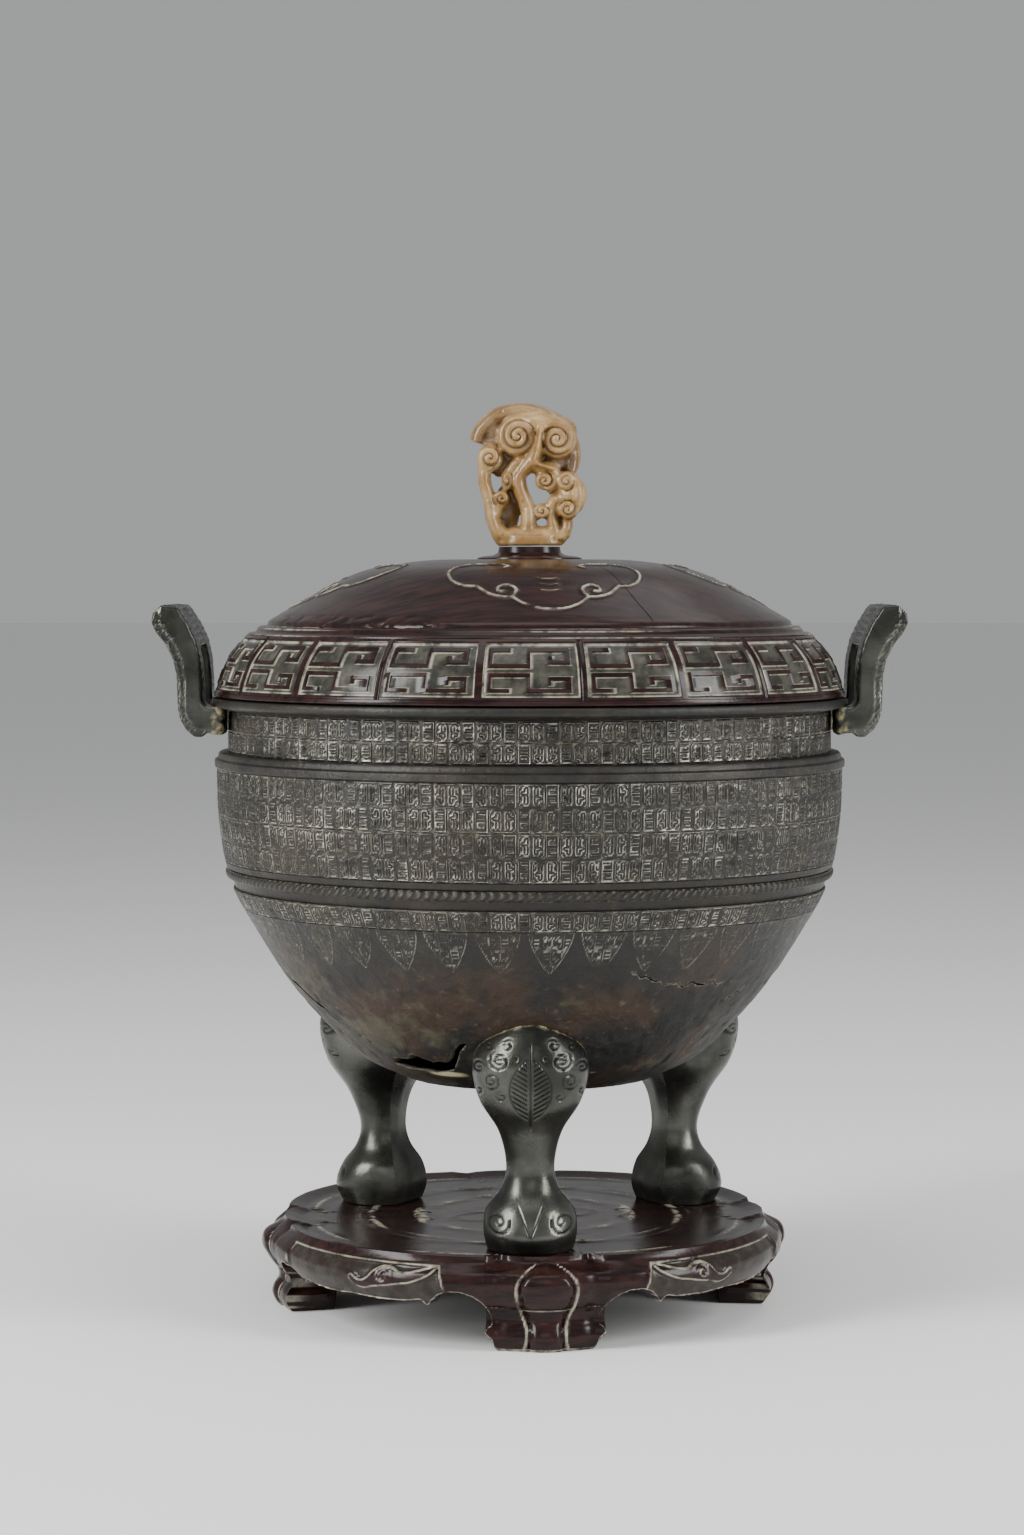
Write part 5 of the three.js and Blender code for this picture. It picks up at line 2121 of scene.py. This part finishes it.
        def place(u: Array, v: Array) -> Placed:
            """Goes up the face, in over the top and out under the plate.

            Args:
                u: shares of the way round.
                v: shares of the way along the section.

            Returns:
                Points, relief and stain.
            """
            column, level = row_of(u, columns) % columns, row_of(v, spans)
            corner, high_angle = corners[column], even[column]
            low_angle, low_z = edge[column].T
            clouded = corner % 2 == 0
            height = low_z + (self.rim_z - low_z) * np.clip(level / self.face_rows, 0, 1)
            leaning = step(0.15, 0.95, (height - low_z) / 30)
            angle = low_angle + (high_angle - low_angle) * leaning
            face = self.outer_face(angle, height, clouded)
            # A pale line along the lower edge: wear and painted highlight.
            face = face._replace(relief=np.maximum(face.relief, np.where(level <= 1, 0.8, 0)))
            across = np.clip((level - self.face_rows) / self.top_rows, 0, 1)
            back = np.clip((level - top_end) / self.under_rows, 0, 1)
            top = self.top(across, high_angle)
            under = self.underside(back, self.outer_face(low_angle, low_z, clouded), high_angle)
            region = (level > self.face_rows) * 1 + (level > top_end) * 1
            skin = Skin(*(np.choose(region, parts) for parts in zip(face, top, under)))
            points = polar(skin.radius, corner * 90 + skin.angle + self.yaw, skin.height)
            points[:, 0] += self.centre_x
            return points, skin.relief, skin.ground

        hand_over(sheet_piece("stand_carved", columns, spans, place), wood, "stand")


# ---- studio ---------------------------------------------------------------------------


class Lamp(NamedTuple):
    """A soft lamp: its name, place and size in metres, and its power in watts."""

    name: str
    place: Triple
    size: tuple[float, float]
    power: float


@dataclass
class Studio:
    """Pale floor, soft lights and the camera, in metres."""

    distance: float = 1.40
    eye: float = 0.292
    aim: float = 0.215
    side: float = -0.007
    lens: float = 82.0
    sensor: float = 36.0
    floor_size: float = 40.0
    floor_z: float = -0.00005
    paint: Triple = (0.92, 0.92, 0.91)
    air: Triple = (0.86, 0.87, 0.88)
    air_strength: float = 0.45
    lamps_aim: Triple = (0, 0, 0.18)
    lamps: tuple[Lamp, ...] = (
        Lamp("key_left", (-1.2, -0.7, 0.8), (0.45, 1.1), 29),
        Lamp("key_right", (1.35, -0.6, 0.7), (0.45, 1.1), 22),
        Lamp("top", (0.0, -0.3, 1.6), (1.2, 0.8), 7),
        Lamp("front", (0.1, -1.9, 0.9), (1.0, 0.8), 3),
        Lamp("rear", (0.9, 1.1, 2.0), (1.2, 0.9), 3),
    )

    def floor(self) -> None:
        """A wide flat floor."""
        deselect()
        bpy.ops.mesh.primitive_plane_add(size=self.floor_size, location=(0, 0, self.floor_z))
        piece = bpy.context.object
        piece.name = "floor"
        book = NodeBook("floor_paint", self.paint)
        piece.data.materials.append(book.finish(Roughness=0.85))

    def aim_at(self, piece: Piece, target: Triple) -> None:
        """Turns a lamp or camera towards a place."""
        way = Vector(target) - piece.location
        piece.rotation_euler = way.to_track_quat("-Z", "Y").to_euler()

    def light(self, lamp: Lamp) -> None:
        """An area light aimed at the vessel.

        Args:
            lamp: its measures.
        """
        deselect()
        bpy.ops.object.light_add(type="AREA", location=lamp.place)
        piece = bpy.context.object
        piece.name = lamp.name
        piece.data.shape = "RECTANGLE"
        piece.data.size, piece.data.size_y = lamp.size
        piece.data.energy = lamp.power
        self.aim_at(piece, self.lamps_aim)

    def camera(self) -> None:
        """The camera at the viewing angle."""
        deselect()
        bpy.ops.object.camera_add(location=(self.side, -self.distance, self.eye))
        camera = bpy.context.object
        self.aim_at(camera, (self.side, 0, self.aim))
        camera.data.lens = self.lens
        camera.data.sensor_width = self.sensor
        bpy.context.scene.camera = camera

    def build(self) -> None:
        """Sets up the floor, the lamps, the air's soft light and the camera."""
        self.floor()
        for lamp in self.lamps:
            self.light(lamp)
        world = bpy.data.worlds.new("studio_air")
        world.use_nodes = True
        background = world.node_tree.nodes["Background"]
        background.inputs["Color"].default_value = (*self.air, 1)
        background.inputs["Strength"].default_value = self.air_strength
        bpy.context.scene.world = world
        self.camera()


# ---- assembly -------------------------------------------------------------------------


def main() -> None:
    """Builds the vessel, its lid, finial, stand and studio in order."""
    logging.basicConfig(level=logging.INFO, format="%(name)s: %(message)s")
    body_bronze, smooth_bronze = BodyBronze().make(), SmoothBronze().make()
    dark_wood, honey_stone = DarkWood().make(), HoneyStone().make()
    bowl = Bowl()
    bowl.build(body_bronze)
    Leg("leg_front", 0.0, bowl, 150, 150).build(smooth_bronze)
    Leg("leg_left", -120.0, bowl, 125, 118).build(smooth_bronze)
    Leg("leg_right", 120.0, bowl, 125, 118).build(smooth_bronze)
    Handle("handle_right", 1).build(smooth_bronze)
    Handle("handle_left", -1).build(smooth_bronze)
    Lid().build(dark_wood)
    Finial().build(honey_stone)
    Stand().build(dark_wood)
    Studio().build()


if __name__ == "__main__":
    main()
